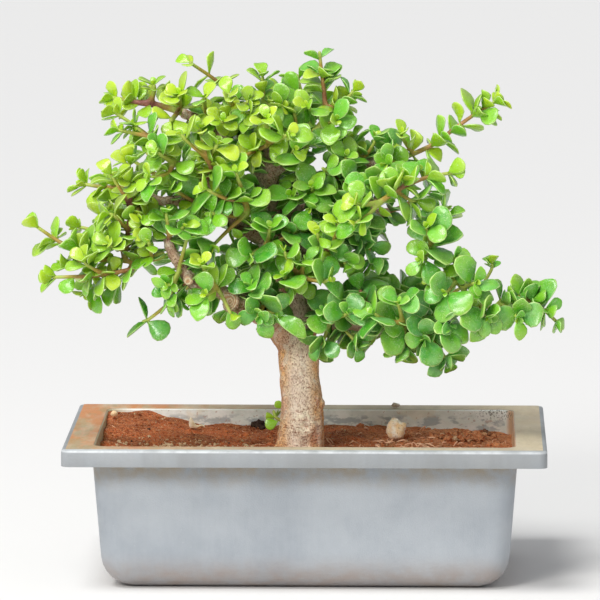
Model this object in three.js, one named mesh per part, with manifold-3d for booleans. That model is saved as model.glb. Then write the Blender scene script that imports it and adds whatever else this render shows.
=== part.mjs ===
// Jade bonsai in a shallow training tray: tray, soil, wood, leafy sprays and stones as separate solids.
// Millimetres, +Z up, +X to the right along the tray; the origin is the middle of the tray's base.
import * as THREE from "three";
import { mergeVertices } from "three/addons/utils/BufferGeometryUtils.js";
import Module from "manifold-3d";

const wasm = await Module();
wasm.setup();

// ---- driving dimensions ----
const GAP = 0.3;
const RIM = { width: 280, depth: 190, height: 85, corner: 5 };
const BODY = { topWidth: 247, topDepth: 157, footWidth: 235, footDepth: 145, corner: 9 };
const WALL = 2;
const RIM_PLATE = 3;
const LIP = { drop: 9.8, thickness: 2.5, round: 1.4, edge: 0.5 };
const MOUTH = { lead: 1.2, drop: 1 };
const FOOT = { round: 18, corner: 1.5, turns: [0, 35, 63, 90] };
const CORNER_STEPS = 3;
const DRAINS = { across: 70, along: 34, radius: 5, sides: 8 };
const SOIL = { level: 76, dip: 4.5, lumps: 0.8, side: 120, back: 75, columns: 12, rows: 6 };
// Soil is heaped in the back left corner: its height, and how far left it starts and is full.
const HEAP = { height: 8, from: 58, full: 104 };
const TRUNK_HOLE = { x: -4, y: -22, radius: 16.2, floor: 41.7, sides: 18 };
const LEAF = { thickness: 1.7, root: 1.5 };
const SPARE = 5;
const SEED = 4127;

// ---- helpers ----
const V = (x, y, z) => new THREE.Vector3(x, y, z);
const vector = (list) => V(...list);
const mix = (a, b, share) => a + (b - a) * share;

// A number from 0 to 1 that depends only on the whole numbers it is given.
function chance(...keys) {
  let hash = SEED;
  for (const key of keys) {
    hash = Math.imul(hash ^ (key + 0x9e3779b9), 0x85ebca6b);
    hash ^= hash >>> 13;
    hash = Math.imul(hash, 0xc2b2ae35);
    hash ^= hash >>> 16;
  }
  return (hash >>> 0) / 4294967296;
}

function geometryOf(points, faces) {
  const geometry = new THREE.BufferGeometry();
  geometry.setAttribute("position", new THREE.Float32BufferAttribute(points.flatMap((p) => p.toArray()), 3));
  geometry.setIndex(faces.flat());
  return geometry;
}

function solidOf(geometry) {
  const bare = geometry.clone();
  bare.deleteAttribute("normal");
  bare.deleteAttribute("uv");
  const merged = mergeVertices(bare, 1e-4);
  const vertProperties = merged.attributes.position.array;
  const triVerts = new Uint32Array(merged.index.array);
  return new wasm.Manifold(new wasm.Mesh({ numProp: 3, vertProperties, triVerts }));
}

function geometryOfSolid(solid) {
  const mesh = solid.getMesh();
  const geometry = new THREE.BufferGeometry();
  geometry.setAttribute("position", new THREE.BufferAttribute(mesh.vertProperties.slice(), 3));
  geometry.setIndex(new THREE.BufferAttribute(mesh.triVerts.slice(), 1));
  return geometry;
}

// Skins a chain of closed rings, each turning left round the way the chain runs, with flat ends.
function skin(rings) {
  const count = rings[0].length;
  const faces = [];
  for (let r = 0; r + 1 < rings.length; r += 1) {
    for (let i = 0; i < count; i += 1) {
      const next = (i + 1) % count;
      const [a, b] = [r * count + i, r * count + next];
      faces.push([a, b, b + count], [a, b + count, a + count]);
    }
  }
  const last = (rings.length - 1) * count;
  for (let i = 1; i + 1 < count; i += 1) {
    faces.push([0, i + 1, i], [last, last + i, last + i + 1]);
  }
  return geometryOf(rings.flat(), faces);
}

// ---- tray ----
function roundedRing(width, depth, corner, z) {
  const ring = [];
  const centres = [[1, 1], [-1, 1], [-1, -1], [1, -1]];
  centres.forEach(([sx, sy], quarter) => {
    for (let step = 0; step <= CORNER_STEPS; step += 1) {
      const angle = ((quarter + step / CORNER_STEPS) * Math.PI) / 2;
      const x = sx * (width / 2 - corner) + corner * Math.cos(angle);
      const y = sy * (depth / 2 - corner) + corner * Math.sin(angle);
      ring.push(V(x, y, z));
    }
  });
  return ring;
}

// A ring of the tray's tapering body at a height, set in from the outer face.
function bodyRing(z, inset, corner = BODY.corner - inset) {
  const share = z / (RIM.height - RIM_PLATE);
  const width = mix(BODY.footWidth, BODY.topWidth, share) - 2 * inset;
  const depth = mix(BODY.footDepth, BODY.topDepth, share) - 2 * inset;
  return roundedRing(width, depth, corner, z);
}

// The rounded edge between the tray's base and its walls, from the base outwards.
function footRings(inset) {
  const radius = FOOT.round - inset;
  return FOOT.turns.map((degrees) => {
    const angle = (degrees * Math.PI) / 180;
    const setIn = inset + radius * (1 - Math.sin(angle));
    const corner = mix(FOOT.corner, BODY.corner - inset, Math.sin(angle));
    return bodyRing(inset + radius * (1 - Math.cos(angle)), setIn, corner);
  });
}

function rimRing(inset, z, corner = RIM.corner - inset / 2) {
  return roundedRing(RIM.width - 2 * inset, RIM.depth - 2 * inset, corner, z);
}

function makeTray() {
  const top = RIM.height;
  const under = top - RIM_PLATE;
  const outer = [
    ...footRings(0),
    bodyRing(under, 0),
    rimRing(LIP.thickness, under),
    rimRing(LIP.thickness, top - LIP.drop),
    rimRing(LIP.edge, top - LIP.drop),
    rimRing(0, top - LIP.round),
    rimRing(LIP.round, top),
  ];
  const mouth = [
    bodyRing(under, WALL - MOUTH.lead).map((p) => V(p.x, p.y, top)),
    bodyRing(under, WALL).map((p) => V(p.x, p.y, top - MOUTH.drop)),
  ];
  const inside = footRings(WALL).reverse();
  let tray = solidOf(skin([...outer, ...mouth, ...inside]));
  for (const sx of [-1, 1]) {
    for (const sy of [-1, 1]) {
      const drain = new THREE.CylinderGeometry(DRAINS.radius, DRAINS.radius, 4 * WALL, DRAINS.sides);
      drain.rotateX(Math.PI / 2).translate(sx * DRAINS.across, sy * DRAINS.along, WALL);
      tray = tray.subtract(solidOf(drain));
    }
  }
  return geometryOfSolid(tray);
}

// ---- soil ----
function soilHeight(x, y) {
  const left = THREE.MathUtils.smoothstep(-x, HEAP.from, HEAP.full);
  const right = Math.max(0, x / SOIL.side) ** 2;
  const back = THREE.MathUtils.clamp((y / SOIL.back + 1) / 2, 0, 1) ** 1.5;
  const lumps = Math.sin(x * 0.13 + 1.3) * Math.cos(y * 0.15) + 0.7 * Math.sin(x * 0.27 - y * 0.21);
  return SOIL.level + HEAP.height * left * back - SOIL.dip * right + SOIL.lumps * lumps;
}

function makeSoil() {
  const top = bodyRing(RIM.height - RIM_PLATE, WALL + GAP);
  const bed = [...footRings(WALL + GAP), top, top.map((p) => V(p.x, p.y, RIM.height + SPARE))];
  const [width, depth] = [BODY.topWidth + SPARE, BODY.topDepth + SPARE];
  const block = new THREE.BoxGeometry(width, depth, 1, SOIL.columns, SOIL.rows, 1);
  const place = block.attributes.position;
  for (let i = 0; i < place.count; i += 1) {
    const isTop = place.getZ(i) > 0;
    place.setZ(i, isTop ? soilHeight(place.getX(i), place.getY(i)) : -SPARE);
  }
  const { x, y, radius, floor, sides } = TRUNK_HOLE;
  const hole = new THREE.CylinderGeometry(radius, radius, RIM.height, sides);
  hole.rotateX(Math.PI / 2).translate(x, y, floor + RIM.height / 2);
  return geometryOfSolid(solidOf(skin(bed)).intersect(solidOf(block)).subtract(solidOf(hole)));
}

// ---- wood ----
// Each limb is a line of [x, y, z, radius] points from its root to its cut or growing end.
const LIMBS = {
  trunk: [
    [-4, -22, 42, 12.5], [-4, -22, 62, 14.2], [-4, -22, 77, 14.3], [-3, -22, 90, 13.2],
    [-3, -21, 104, 12.2], [-4, -20, 119, 11.9], [-5, -19, 132, 12], [-5, -17, 143, 10.6],
    [-5, -15, 156, 9.6], [-8, -13, 171, 9], [-14, -10, 188, 8.4], [-20, -8, 206, 7.4],
    [-23, -8, 225, 6.4], [-22, -10, 241, 5.2], [-22, -12, 252, 4.4],
  ],
  left_low: [
    [-8, -19, 136, 9], [-18, -24, 150, 8.2], [-29, -34, 159, 7.2], [-38, -42, 163, 6.6],
    [-44, -49, 166, 6.3],
  ],
  left_mid: [
    [-35, -40, 163, 4.8], [-49, -46, 171, 4.3], [-60, -50, 174, 4], [-67, -52, 179, 3.8],
    [-73, -52, 188, 3.5], [-78, -51, 196, 3.3], [-80, -50, 204, 3],
  ],
  left_up: [
    [-15, -11, 187, 6], [-26, -16, 199, 5.4], [-37, -22, 206, 5], [-47, -28, 215, 4.4],
    [-62, -32, 222, 3.8], [-76, -34, 223, 3.3], [-86, -32, 223, 2.8], [-95, -28, 228, 2.3],
  ],
  left_stub: [
    [-46, -27, 214, 3.8], [-54, -33, 228, 3.3], [-62, -36, 239, 3.2], [-69, -38, 241, 3.2],
    [-74, -43, 245, 3.1],
  ],
  left_top: [
    [-23, -9, 230, 4.6], [-35, -4, 244, 4], [-48, 0, 255, 3.6], [-61, 2, 265, 3.3],
    [-74, 3, 271, 3.1],
  ],
  top_left: [[-40, -2, 248, 3], [-39, 3, 262, 2.5], [-46, 5, 280, 2]],
  top_mid: [[-22, -12, 249, 3.6], [-23, -13, 261, 2.8], [-25, -13, 272, 2.3]],
  top_right: [[-21, -9, 237, 4.6], [-11, -8, 245, 4], [-3, -6, 255, 3.7], [3, -5, 260, 3.5]],
  right_up: [
    [-19, -8, 202, 5.4], [-6, -4, 217, 4.7], [12, -2, 229, 4], [32, -1, 240, 3.4],
    [46, -1, 244, 2.9], [57, 0, 246, 2.4],
  ],
  right_mid: [
    [-12, -11, 184, 6.2], [-1, -16, 195, 5.5], [12, -22, 200, 4.9], [25, -30, 210, 4.2],
    [37, -37, 221, 3.7], [41, -47, 223, 3.3],
  ],
  right_low: [
    [-2, -17, 148, 6.8], [11, -24, 151, 5.8], [25, -30, 152, 5.1], [42, -34, 149, 4.5],
    [59, -36, 150, 3.8], [77, -38, 155, 3],
  ],
  back_left: [
    [-21, -6, 212, 5.5], [-34, 12, 219, 4.8], [-50, 24, 226, 4],
    [-66, 32, 230, 3.2], [-80, 36, 229, 2.5],
  ],
  back_right: [
    [-14, -8, 188, 5.8], [0, 12, 193, 5], [18, 26, 200, 4.2],
    [34, 35, 206, 3.4], [48, 39, 209, 2.6],
  ],
  back_mid: [[-22, -6, 225, 4.8], [-20, 12, 233, 4.2], [-15, 26, 243, 3.4], [-14, 36, 253, 2.6]],
  back_low: [
    [-6, -14, 144, 6.2], [-14, 4, 152, 5.4], [-27, 20, 160, 4.6],
    [-43, 32, 167, 3.8], [-60, 38, 172, 3],
  ],
  back_low_right: [
    [7, -20, 150, 4.8], [20, 2, 155, 4.2], [36, 17, 156, 3.6],
    [55, 27, 156, 2.9], [72, 31, 157, 2.3],
  ],
  back_top: [[-4, -6, 255, 3.2], [-4, 10, 266, 2.7], [-5, 20, 277, 2.2]],
};
const LIMB_STEP = 15;
const LIMB_SIDES = [[9, 12], [5.5, 8], [3.5, 7], [0, 6]];
const BARK = { flutes: 3, depth: 0.04, wander: 0.7, swell: 0.03, swellTurn: 2.4 };
const SAMPLES = 6;
const TO_FRONT = V(0, -1, 0.3);

function limbOf(name, points) {
  const line = new THREE.CatmullRomCurve3(points.map(([x, y, z]) => V(x, y, z)), false, "catmullrom", 0.5);
  const spans = points.length - 1;
  const radiusAt = (t) => {
    const i = Math.min(Math.floor(t * spans), spans - 1);
    return mix(points[i][3], points[i + 1][3], t * spans - i);
  };
  const samples = Array.from({ length: spans * SAMPLES + 1 }, (_, i) => {
    const t = i / (spans * SAMPLES);
    return { at: line.getPoint(t), radius: radiusAt(t), t };
  });
  return { name, line, radiusAt, samples, widest: points[0][3] };
}

const limbs = Object.entries(LIMBS).map(([name, points]) => limbOf(name, points));

// A frame that is carried along a line without twisting: tangent, normal and their cross product.
function carryFrame(tangent, normal) {
  const n = normal.clone().addScaledVector(tangent, -normal.dot(tangent)).normalize();
  return { tangent, normal: n, side: tangent.clone().cross(n) };
}

function limbSkin(limb, index) {
  const steps = Math.max(3, Math.round(limb.line.getLength() / LIMB_STEP));
  const sides = LIMB_SIDES.find(([radius]) => limb.widest >= radius)[1];
  let normal = TO_FRONT;
  const rings = [];
  for (let step = 0; step <= steps; step += 1) {
    const t = step / steps;
    const frame = carryFrame(limb.line.getTangent(t), normal);
    normal = frame.normal;
    const knuckle = 1 + BARK.swell * Math.sin(step * BARK.swellTurn + index);
    const ring = [];
    for (let i = 0; i < sides; i += 1) {
      const angle = (2 * Math.PI * i) / sides;
      const flute = 1 + BARK.depth * Math.sin(BARK.flutes * angle + step * BARK.wander + index);
      const radius = limb.radiusAt(t) * flute * knuckle;
      const out = frame.normal.clone().multiplyScalar(Math.cos(angle) * radius);
      ring.push(limb.line.getPoint(t).add(out.addScaledVector(frame.side, Math.sin(angle) * radius)));
    }
    rings.push(ring);
  }
  return skin(rings);
}

function makeWood() {
  const [trunk, ...rest] = limbs.map((limb, index) => solidOf(limbSkin(limb, index)));
  return geometryOfSolid(rest.reduce((wood, limb) => wood.add(limb), trunk));
}

// ---- leafy sprays ----
// Name, what it grows from, near where, the handle of its bend, its tip, how many leafy joints,
// leaf length, and youth from 0 to 1.
const SHOOTS = [
  ["high_left", "wood", [-46, 5, 280], [-56, 3, 291], [-69, -2, 301], 3, 13, 0.6],
  ["top_left", "wood", [-74, 3, 271], [-92, 0, 275], [-114, -3, 280], 4, 13, 0.6],
  ["top_left_lime", "top_left", [-89, 0, 275], [-89, -4, 281], [-90, -6, 288], 1, 8, 1],
  ["top_left_crown", "top_left", [-76, 1, 271], [-72, -14, 277], [-75, -22, 284], 2, 16, 0.3],
  ["top_left_front", "top_left", [-79, 1, 272], [-77, -20, 271], [-79, -28, 269], 1, 14, 0.3],
  ["crown_left", "wood", [-61, 2, 265], [-59, -10, 272], [-60, -18, 282], 2, 14, 0.5],
  ["crown_rise", "wood", [-43, 4, 273], [-44, -16, 275], [-45, -26, 285], 2, 13, 0.6],
  ["crown_rise_side", "crown_rise", [-43, -10, 275], [-37, -26, 277], [-34, -28, 281], 1, 12, 0.6],
  ["crown_rise_low", "crown_rise", [-44, -8, 274], [-49, -20, 262], [-49, -26, 269], 2, 14, 0.6],
  ["crown_peak", "wood", [-25, -13, 272], [-25, -14, 281], [-26, -16, 294], 3, 13, 0.55],
  ["crown_peak_left", "crown_peak", [-25, -14, 274], [-31, -26, 275], [-35, -30, 274], 1, 13, 0.4],
  ["crown_peak_right", "crown_peak", [-25, -14, 278], [-18, -20, 276], [-14, -22, 278], 1, 13, 0.4],
  ["crown_front", "wood", [-23, -13, 256], [-23, -34, 262], [-23, -44, 272], 2, 13, 0.9],
  ["crown_front_right", "crown_front", [-23, -26, 259], [-15, -42, 260], [-11, -46, 263], 1, 16, 0.3],
  ["crown_front_low", "crown_front", [-23, -22, 258], [-37, -34, 249], [-41, -42, 248], 2, 15, 0.5],
  ["lime_rosette", "wood", [-59, -33, 236], [-60, -44, 249], [-61, -52, 267], 2, 14, 0.85],
  ["lime_rosette_left", "lime_rosette", [-60, -42, 249], [-67, -54, 259], [-72, -56, 264], 1, 15, 0.3],
  ["lime_rosette_right", "lime_rosette", [-60, -41, 246], [-54, -52, 253], [-51, -54, 258], 1, 15, 0.2],
  ["shoulder", "wood", [-74, -43, 245], [-79, -58, 248], [-85, -62, 254], 1, 15, 0.1],
  ["shoulder_long", "shoulder", [-75, -48, 245], [-82, -66, 240], [-89, -70, 241], 1, 17, 0.8],
  ["shoulder_red", "shoulder", [-76, -46, 246], [-91, -34, 262], [-111, -32, 274], 4, 13, 0.5],
  ["shoulder_red_low", "shoulder_red", [-93, -38, 262], [-104, -40, 264], [-109, -40, 265], 1, 12, 0.5],
  ["shoulder_fill", "shoulder_red", [-90, -38, 260], [-84, -50, 251], [-83, -54, 255], 1, 14, 0.4],
  ["twig_left", "wood", [-78, -51, 196], [-96, -52, 187], [-113, -50, 191], 0, 13, 0],
  ["left_tower", "twig_left", [-105, -51, 190], [-99, -60, 217], [-102, -58, 249], 5, 15, 0.85],
  ["left_tower_side", "left_tower", [-102, -57, 228], [-108, -64, 236], [-112, -66, 242], 1, 14, 0.8],
  ["left_tower_flat", "left_tower", [-102, -56, 209], [-107, -66, 218], [-113, -66, 219], 1, 14, 0.4],
  ["left_tower_low", "left_tower", [-104, -53, 196], [-109, -66, 198], [-113, -70, 202], 1, 14, 0.6],
  ["left_far", "twig_left", [-113, -50, 191], [-137, -52, 195], [-157, -54, 211], 4, 16, 0.7],
  ["left_far_low", "left_far", [-124, -51, 192], [-133, -58, 189], [-139, -60, 189], 1, 13, 0.4],
  ["left_narrow", "twig_left", [-109, -50, 189], [-117, -42, 207], [-133, -38, 208], 3, 12, 0.7],
  ["left_narrow_up", "left_narrow", [-115, -45, 200], [-118, -36, 208], [-119, -34, 214], 1, 14, 0.4],
  ["left_low", "twig_left", [-94, -52, 189], [-122, -64, 181], [-146, -66, 182], 3, 15, 0.8],
  ["left_low_up", "left_low", [-116, -60, 183], [-125, -72, 187], [-127, -74, 192], 1, 13, 0.9],
  ["left_hang", "twig_left", [-100, -52, 188], [-104, -46, 179], [-114, -42, 175], 1, 16, 0.1],
  ["left_hang_end", "left_hang", [-108, -45, 178], [-121, -40, 174], [-126, -40, 169], 1, 13, 0.2],
  ["left_inner", "twig_left", [-88, -52, 189], [-88, -64, 194], [-90, -70, 203], 2, 13, 0.85],
  ["left_reach", "wood", [-95, -28, 228], [-114, -20, 226], [-131, -16, 231], 3, 13, 0.6],
  ["left_reach_low", "left_reach", [-109, -23, 227], [-113, -28, 224], [-115, -30, 219], 1, 14, 0.2],
  ["left_reach_front", "left_reach", [-97, -27, 228], [-95, -52, 221], [-96, -64, 217], 2, 15, 0.7],
  ["left_reach_low2", "left_reach_front", [-96, -44, 222], [-91, -62, 212], [-91, -66, 207], 1, 14, 0.4],
  ["left_inside", "wood", [-62, -32, 222], [-75, -46, 226], [-78, -52, 233], 2, 15, 0.4],
  ["drop_left", "wood", [-67, -52, 178], [-73, -50, 160], [-95, -50, 154], 2, 15, 0.5],
  ["branch_end", "wood", [-71, -52, 186], [-75, -64, 178], [-79, -70, 178], 1, 12, 0.8],
  ["branch_end_low", "branch_end", [-72, -58, 183], [-77, -62, 171], [-80, -64, 169], 1, 13, 0.1],
  ["branch_end_up", "branch_end", [-72, -57, 184], [-70, -60, 198], [-68, -60, 205], 2, 15, 0.5],
  ["knob_lime", "wood", [-54, -48, 172], [-57, -64, 177], [-59, -72, 190], 2, 14, 0.9],
  ["knob_low", "knob_lime", [-56, -56, 175], [-56, -66, 172], [-57, -70, 173], 1, 15, 0.1],
  ["knob_leaf", "knob_lime", [-55, -50, 173], [-46, -58, 166], [-43, -60, 160], 1, 13, 0.2],
  ["pink_top", "wood", [-80, -50, 202], [-79, -64, 209], [-80, -68, 220], 1, 16, 0.2],
  ["pink_side", "pink_top", [-79, -60, 206], [-72, -68, 209], [-70, -70, 212], 1, 15, 0.2],
  ["heart_left", "wood", [-41, -25, 210], [-36, -48, 226], [-40, -58, 242], 2, 17, 0.6],
  ["heart_left_out", "heart_left", [-38, -45, 225], [-49, -58, 228], [-57, -62, 233], 1, 17, 0.1],
  ["pale_pair", "heart_left", [-39, -34, 216], [-48, -50, 218], [-54, -58, 218], 2, 17, 0],
  ["heart_left_low", "heart_left", [-37, -38, 219], [-52, -46, 201], [-54, -50, 198], 1, 16, 0.3],
  ["centre_lime", "wood", [-26, -16, 199], [-22, -40, 194], [-21, -52, 209], 2, 16, 0.9],
  ["centre_dark", "centre_lime", [-24, -30, 196], [-29, -46, 195], [-32, -50, 193], 1, 17, 0],
  ["mid_blue", "centre_lime", [-22, -30, 195], [-12, -34, 199], [-5, -37, 208], 1, 16, 0],
  ["heart", "wood", [-8, -13, 171], [-5, -38, 174], [0, -54, 191], 2, 15, 0.85],
  ["heart_right", "heart", [-4, -42, 179], [7, -52, 177], [13, -54, 179], 1, 18, 0.4],
  ["heart_left_up", "heart", [-4, -44, 181], [-10, -52, 189], [-12, -54, 196], 1, 15, 0.5],
  ["heart_round", "heart", [-6, -30, 174], [-10, -50, 176], [-12, -56, 182], 1, 19, 0],
  ["trunk_front", "wood", [-29, -34, 159], [-30, -50, 168], [-32, -56, 176], 1, 16, 0],
  ["trunk_front_low", "trunk_front", [-30, -42, 164], [-27, -54, 160], [-27, -58, 158], 1, 14, 0.2],
  ["trunk_front_long", "trunk_front", [-30, -40, 162], [-24, -50, 162], [-18, -54, 160], 1, 24, 0.6],
  ["top_centre", "wood", [-11, -8, 245], [-10, -26, 248], [-7, -36, 253], 1, 18, 0.5],
  ["top_notch", "wood", [-3, -6, 255], [-5, -14, 264], [-8, -18, 276], 1, 14, 0.4],
  ["top_notch_round", "top_notch", [-4, -9, 258], [0, -24, 256], [1, -30, 253], 1, 16, 0.1],
  ["peak", "wood", [3, -5, 260], [10, -6, 276], [7, -8, 308], 5, 13, 0.5],
  ["peak_right", "peak", [8, -6, 277], [18, -12, 274], [27, -8, 285], 3, 13, 0.5],
  ["peak_left", "peak", [7, -6, 271], [4, -20, 274], [0, -28, 278], 1, 17, 0.1],
  ["peak_low", "peak", [6, -6, 267], [13, -18, 266], [17, -24, 269], 1, 16, 0.2],
  ["peak_long", "peak", [4, -6, 263], [9, -16, 260], [11, -22, 259], 1, 19, 0.9],
  ["ridge", "wood", [32, -1, 240], [29, -8, 247], [26, -10, 257], 2, 13, 0.4],
  ["ridge_side", "ridge", [31, -4, 243], [39, -12, 249], [40, -14, 258], 2, 13, 0.5],
  ["ridge_dark", "wood", [20, -1, 233], [22, -16, 239], [23, -24, 248], 1, 15, 0.1],
  ["ridge_dark_left", "ridge_dark", [21, -9, 236], [14, -26, 239], [9, -30, 242], 1, 15, 0.1],
  ["right_round", "ridge_dark", [21, -10, 236], [27, -26, 232], [28, -36, 234], 1, 17, 0.2],
  ["long_arm", "wood", [57, 0, 246], [82, 5, 262], [111, 7, 278], 7, 13, 0.5],
  ["long_arm_base", "long_arm", [61, 1, 249], [56, -10, 253], [55, -14, 260], 2, 13, 0.7],
  ["arm_front", "wood", [46, -1, 244], [50, -18, 244], [46, -32, 244], 1, 15, 0.2],
  ["arm_front_side", "arm_front", [47, -12, 244], [57, -26, 243], [63, -30, 243], 1, 14, 0.4],
  ["arm_front_low", "arm_front", [46, -24, 244], [36, -38, 237], [36, -42, 234], 1, 15, 0.3],
  ["olive_arm", "wood", [41, -47, 223], [56, -50, 239], [85, -46, 241], 4, 15, 0.7],
  ["olive_low", "olive_arm", [51, -49, 233], [58, -46, 225], [64, -42, 224], 1, 17, 0.1],
  ["olive_face", "olive_arm", [42, -50, 226], [34, -58, 222], [29, -64, 225], 1, 16, 0.7],
  ["olive_drop", "olive_arm", [41, -49, 225], [37, -62, 217], [29, -68, 214], 1, 16, 0.8],
  ["mid_dark", "wood", [4, -3, 224], [4, -24, 224], [3, -34, 231], 1, 16, 0],
  ["mid_dark_low", "mid_dark", [4, -16, 224], [3, -34, 220], [2, -38, 219], 1, 14, 0.1],
  ["mid_long", "mid_dark", [4, -12, 224], [-5, -22, 222], [-9, -31, 226], 1, 19, 0.1],
  ["fork_lime", "wood", [12, -22, 200], [19, -46, 196], [19, -58, 213], 2, 15, 0.8],
  ["fork_lime_left", "fork_lime", [14, -34, 199], [8, -50, 200], [7, -56, 207], 1, 11, 1],
  ["fork_low", "fork_lime", [14, -32, 199], [21, -40, 192], [23, -42, 187], 1, 16, 0.1],
  ["right_hang", "wood", [25, -30, 210], [36, -34, 203], [38, -30, 186], 3, 15, 0.1],
  ["twig_right", "wood", [77, -38, 155], [92, -38, 171], [111, -38, 159], 0, 14, 0],
  ["right_drop", "twig_right", [100, -38, 163], [103, -50, 162], [105, -56, 158], 1, 18, 0.3],
  ["right_end", "twig_right", [110, -38, 159], [128, -38, 173], [147, -40, 152], 5, 13, 0.7],
  ["right_end_low", "right_end", [116, -38, 162], [121, -46, 160], [123, -52, 157], 1, 18, 0.7],
  ["right_wisp", "twig_right", [95, -38, 165], [110, -32, 170], [108, -30, 186], 2, 9, 1],
  ["twig_rise", "twig_right", [91, -38, 165], [81, -37, 180], [72, -35, 197], 0, 13, 0],
  ["big_leaves", "twig_rise", [73, -35, 196], [71, -44, 202], [70, -54, 210], 2, 19, 0.4],
  ["big_upper", "big_leaves", [72, -40, 200], [78, -40, 207], [81, -36, 218], 1, 18, 0.7],
  ["rise_left", "twig_rise", [75, -35, 191], [71, -48, 192], [67, -54, 191], 1, 17, 0.1],
  ["rise_right", "twig_rise", [77, -36, 188], [82, -48, 192], [86, -52, 192], 1, 17, 0.1],
  ["rise_small", "twig_rise", [81, -37, 180], [75, -48, 181], [71, -52, 179], 1, 14, 0.3],
  ["rise_round", "twig_rise", [85, -38, 174], [84, -50, 172], [81, -60, 173], 1, 18, 0.2],
  ["rise_pair", "twig_rise", [87, -38, 170], [94, -50, 176], [98, -56, 178], 1, 17, 0.4],
  ["low_right", "wood", [59, -36, 150], [56, -54, 153], [54, -64, 167], 2, 19, 0.5],
  ["low_right_side", "low_right", [58, -45, 151], [47, -58, 155], [40, -62, 161], 1, 18, 0.2],
  ["low_right_drop", "low_right", [59, -42, 150], [59, -44, 144], [56, -44, 138], 1, 15, 0.8],
  ["low_edge", "wood", [42, -34, 149], [39, -40, 159], [32, -36, 170], 1, 17, 0],
  ["low_hang", "wood", [68, -37, 152], [76, -44, 144], [82, -46, 131], 2, 15, 0.2],
  ["low_hang_face", "low_hang", [72, -40, 150], [80, -54, 155], [84, -60, 155], 1, 18, 0.1],
  ["low_hang_front", "low_hang", [73, -41, 148], [70, -52, 147], [69, -56, 145], 1, 16, 0.2],
  ["low_front", "wood", [17, -27, 152], [14, -42, 157], [11, -50, 162], 1, 18, 0],
  ["low_front_side", "low_front", [16, -36, 154], [21, -50, 157], [24, -56, 160], 1, 17, 0.1],
  ["low_front_drop", "low_front", [16, -33, 153], [13, -40, 144], [8, -44, 140], 1, 15, 0],
  ["low_front_right", "low_front", [16, -31, 153], [26, -40, 146], [30, -44, 140], 1, 15, 0.2],
  ["sucker", "wood", [-15, -19, 92], [-18, -8, 88], [-20, -6, 96], 1, 6, 0.8],
  ["back_crown", "wood", [-14, 36, 253], [-13, 44, 260], [-13, 50, 269], 2, 15, 0.4],
  ["back_crown_left", "back_crown", [-13, 42, 257], [-23, 54, 258], [-31, 58, 262], 1, 15, 0.4],
  ["back_crown_right", "back_crown", [-13, 44, 259], [-3, 54, 257], [4, 56, 261], 1, 15, 0.3],
  ["back_under", "wood", [-17, 22, 240], [-15, 36, 238], [-14, 48, 238], 2, 15, 0.2],
  ["back_under_left", "back_under", [-16, 34, 238], [-26, 44, 240], [-33, 48, 243], 1, 15, 0.3],
  ["back_under_right", "back_under", [-15, 38, 238], [-4, 48, 240], [3, 52, 243], 1, 15, 0.2],
  ["back_peak", "wood", [-5, 20, 277], [-4, 26, 282], [-7, 30, 291], 2, 14, 0.5],
  ["back_peak_left", "back_peak", [-5, 24, 280], [-14, 34, 276], [-19, 38, 277], 1, 14, 0.4],
  ["back_peak_right", "back_peak", [-5, 22, 278], [5, 34, 273], [11, 38, 274], 1, 14, 0.3],
  ["back_left_high", "wood", [-50, 24, 226], [-56, 34, 240], [-59, 38, 254], 2, 14, 0.5],
  ["back_left_high_in", "back_left_high", [-54, 32, 236], [-45, 46, 243], [-39, 50, 246], 1, 15, 0.2],
  ["back_left_high_out", "back_left_high", [-56, 33, 238], [-66, 42, 245], [-72, 44, 250], 1, 14, 0.5],
  ["back_left", "wood", [-80, 36, 229], [-92, 38, 230], [-106, 38, 240], 3, 14, 0.6],
  ["back_left_low", "back_left", [-86, 37, 229], [-93, 47, 219], [-98, 51, 212], 1, 15, 0.3],
  ["back_left_up", "back_left", [-90, 37, 231], [-96, 46, 240], [-99, 50, 246], 1, 14, 0.5],
  ["back_left_mid", "wood", [-66, 32, 230], [-68, 48, 222], [-71, 56, 213], 2, 15, 0.2],
  ["back_left_mid_in", "back_left_mid", [-67, 44, 224], [-57, 54, 220], [-51, 58, 218], 1, 15, 0.2],
  ["back_left_in", "wood", [-38, 15, 221], [-38, 30, 214], [-37, 40, 206], 2, 15, 0.1],
  ["back_right_high", "wood", [25, -2, 238], [27, 20, 240], [28, 32, 246], 2, 15, 0.3],
  ["back_right_high_in", "back_right_high", [26, 14, 238], [16, 28, 235], [12, 34, 234], 1, 15, 0.2],
  ["back_right_high_out", "back_right_high", [27, 18, 240], [38, 28, 238], [45, 32, 239], 1, 15, 0.3],
  ["back_right", "wood", [48, 39, 209], [60, 42, 215], [72, 43, 221], 2, 16, 0.4],
  ["back_right_low", "back_right", [56, 41, 212], [64, 50, 206], [69, 54, 204], 1, 15, 0.2],
  ["back_right_mid", "wood", [38, 34, 203], [37, 44, 212], [35, 50, 222], 2, 16, 0.2],
  ["back_right_in", "back_right_mid", [38, 40, 208], [24, 52, 207], [18, 56, 210], 1, 16, 0.2],
  ["back_middle", "wood", [18, 26, 200], [16, 40, 192], [14, 48, 184], 2, 16, 0.1],
  ["back_middle_in", "back_middle", [17, 34, 195], [5, 44, 190], [-2, 48, 190], 1, 16, 0.1],
  ["back_low_left", "wood", [-60, 38, 172], [-72, 42, 174], [-82, 45, 181], 2, 16, 0.3],
  ["back_low_left_hang", "back_low_left", [-65, 40, 173], [-70, 50, 166], [-74, 54, 160], 1, 15, 0.2],
  ["back_low_mid", "wood", [-43, 32, 167], [-42, 46, 174], [-40, 53, 184], 2, 16, 0.2],
  ["back_low_mid_in", "back_low_mid", [-42, 42, 171], [-28, 52, 174], [-22, 56, 178], 1, 16, 0.2],
  ["back_low", "wood", [-27, 20, 160], [-24, 36, 160], [-22, 46, 155], 2, 16, 0.1],
  ["back_low_right", "wood", [72, 31, 157], [83, 34, 159], [94, 35, 166], 2, 15, 0.4],
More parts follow.
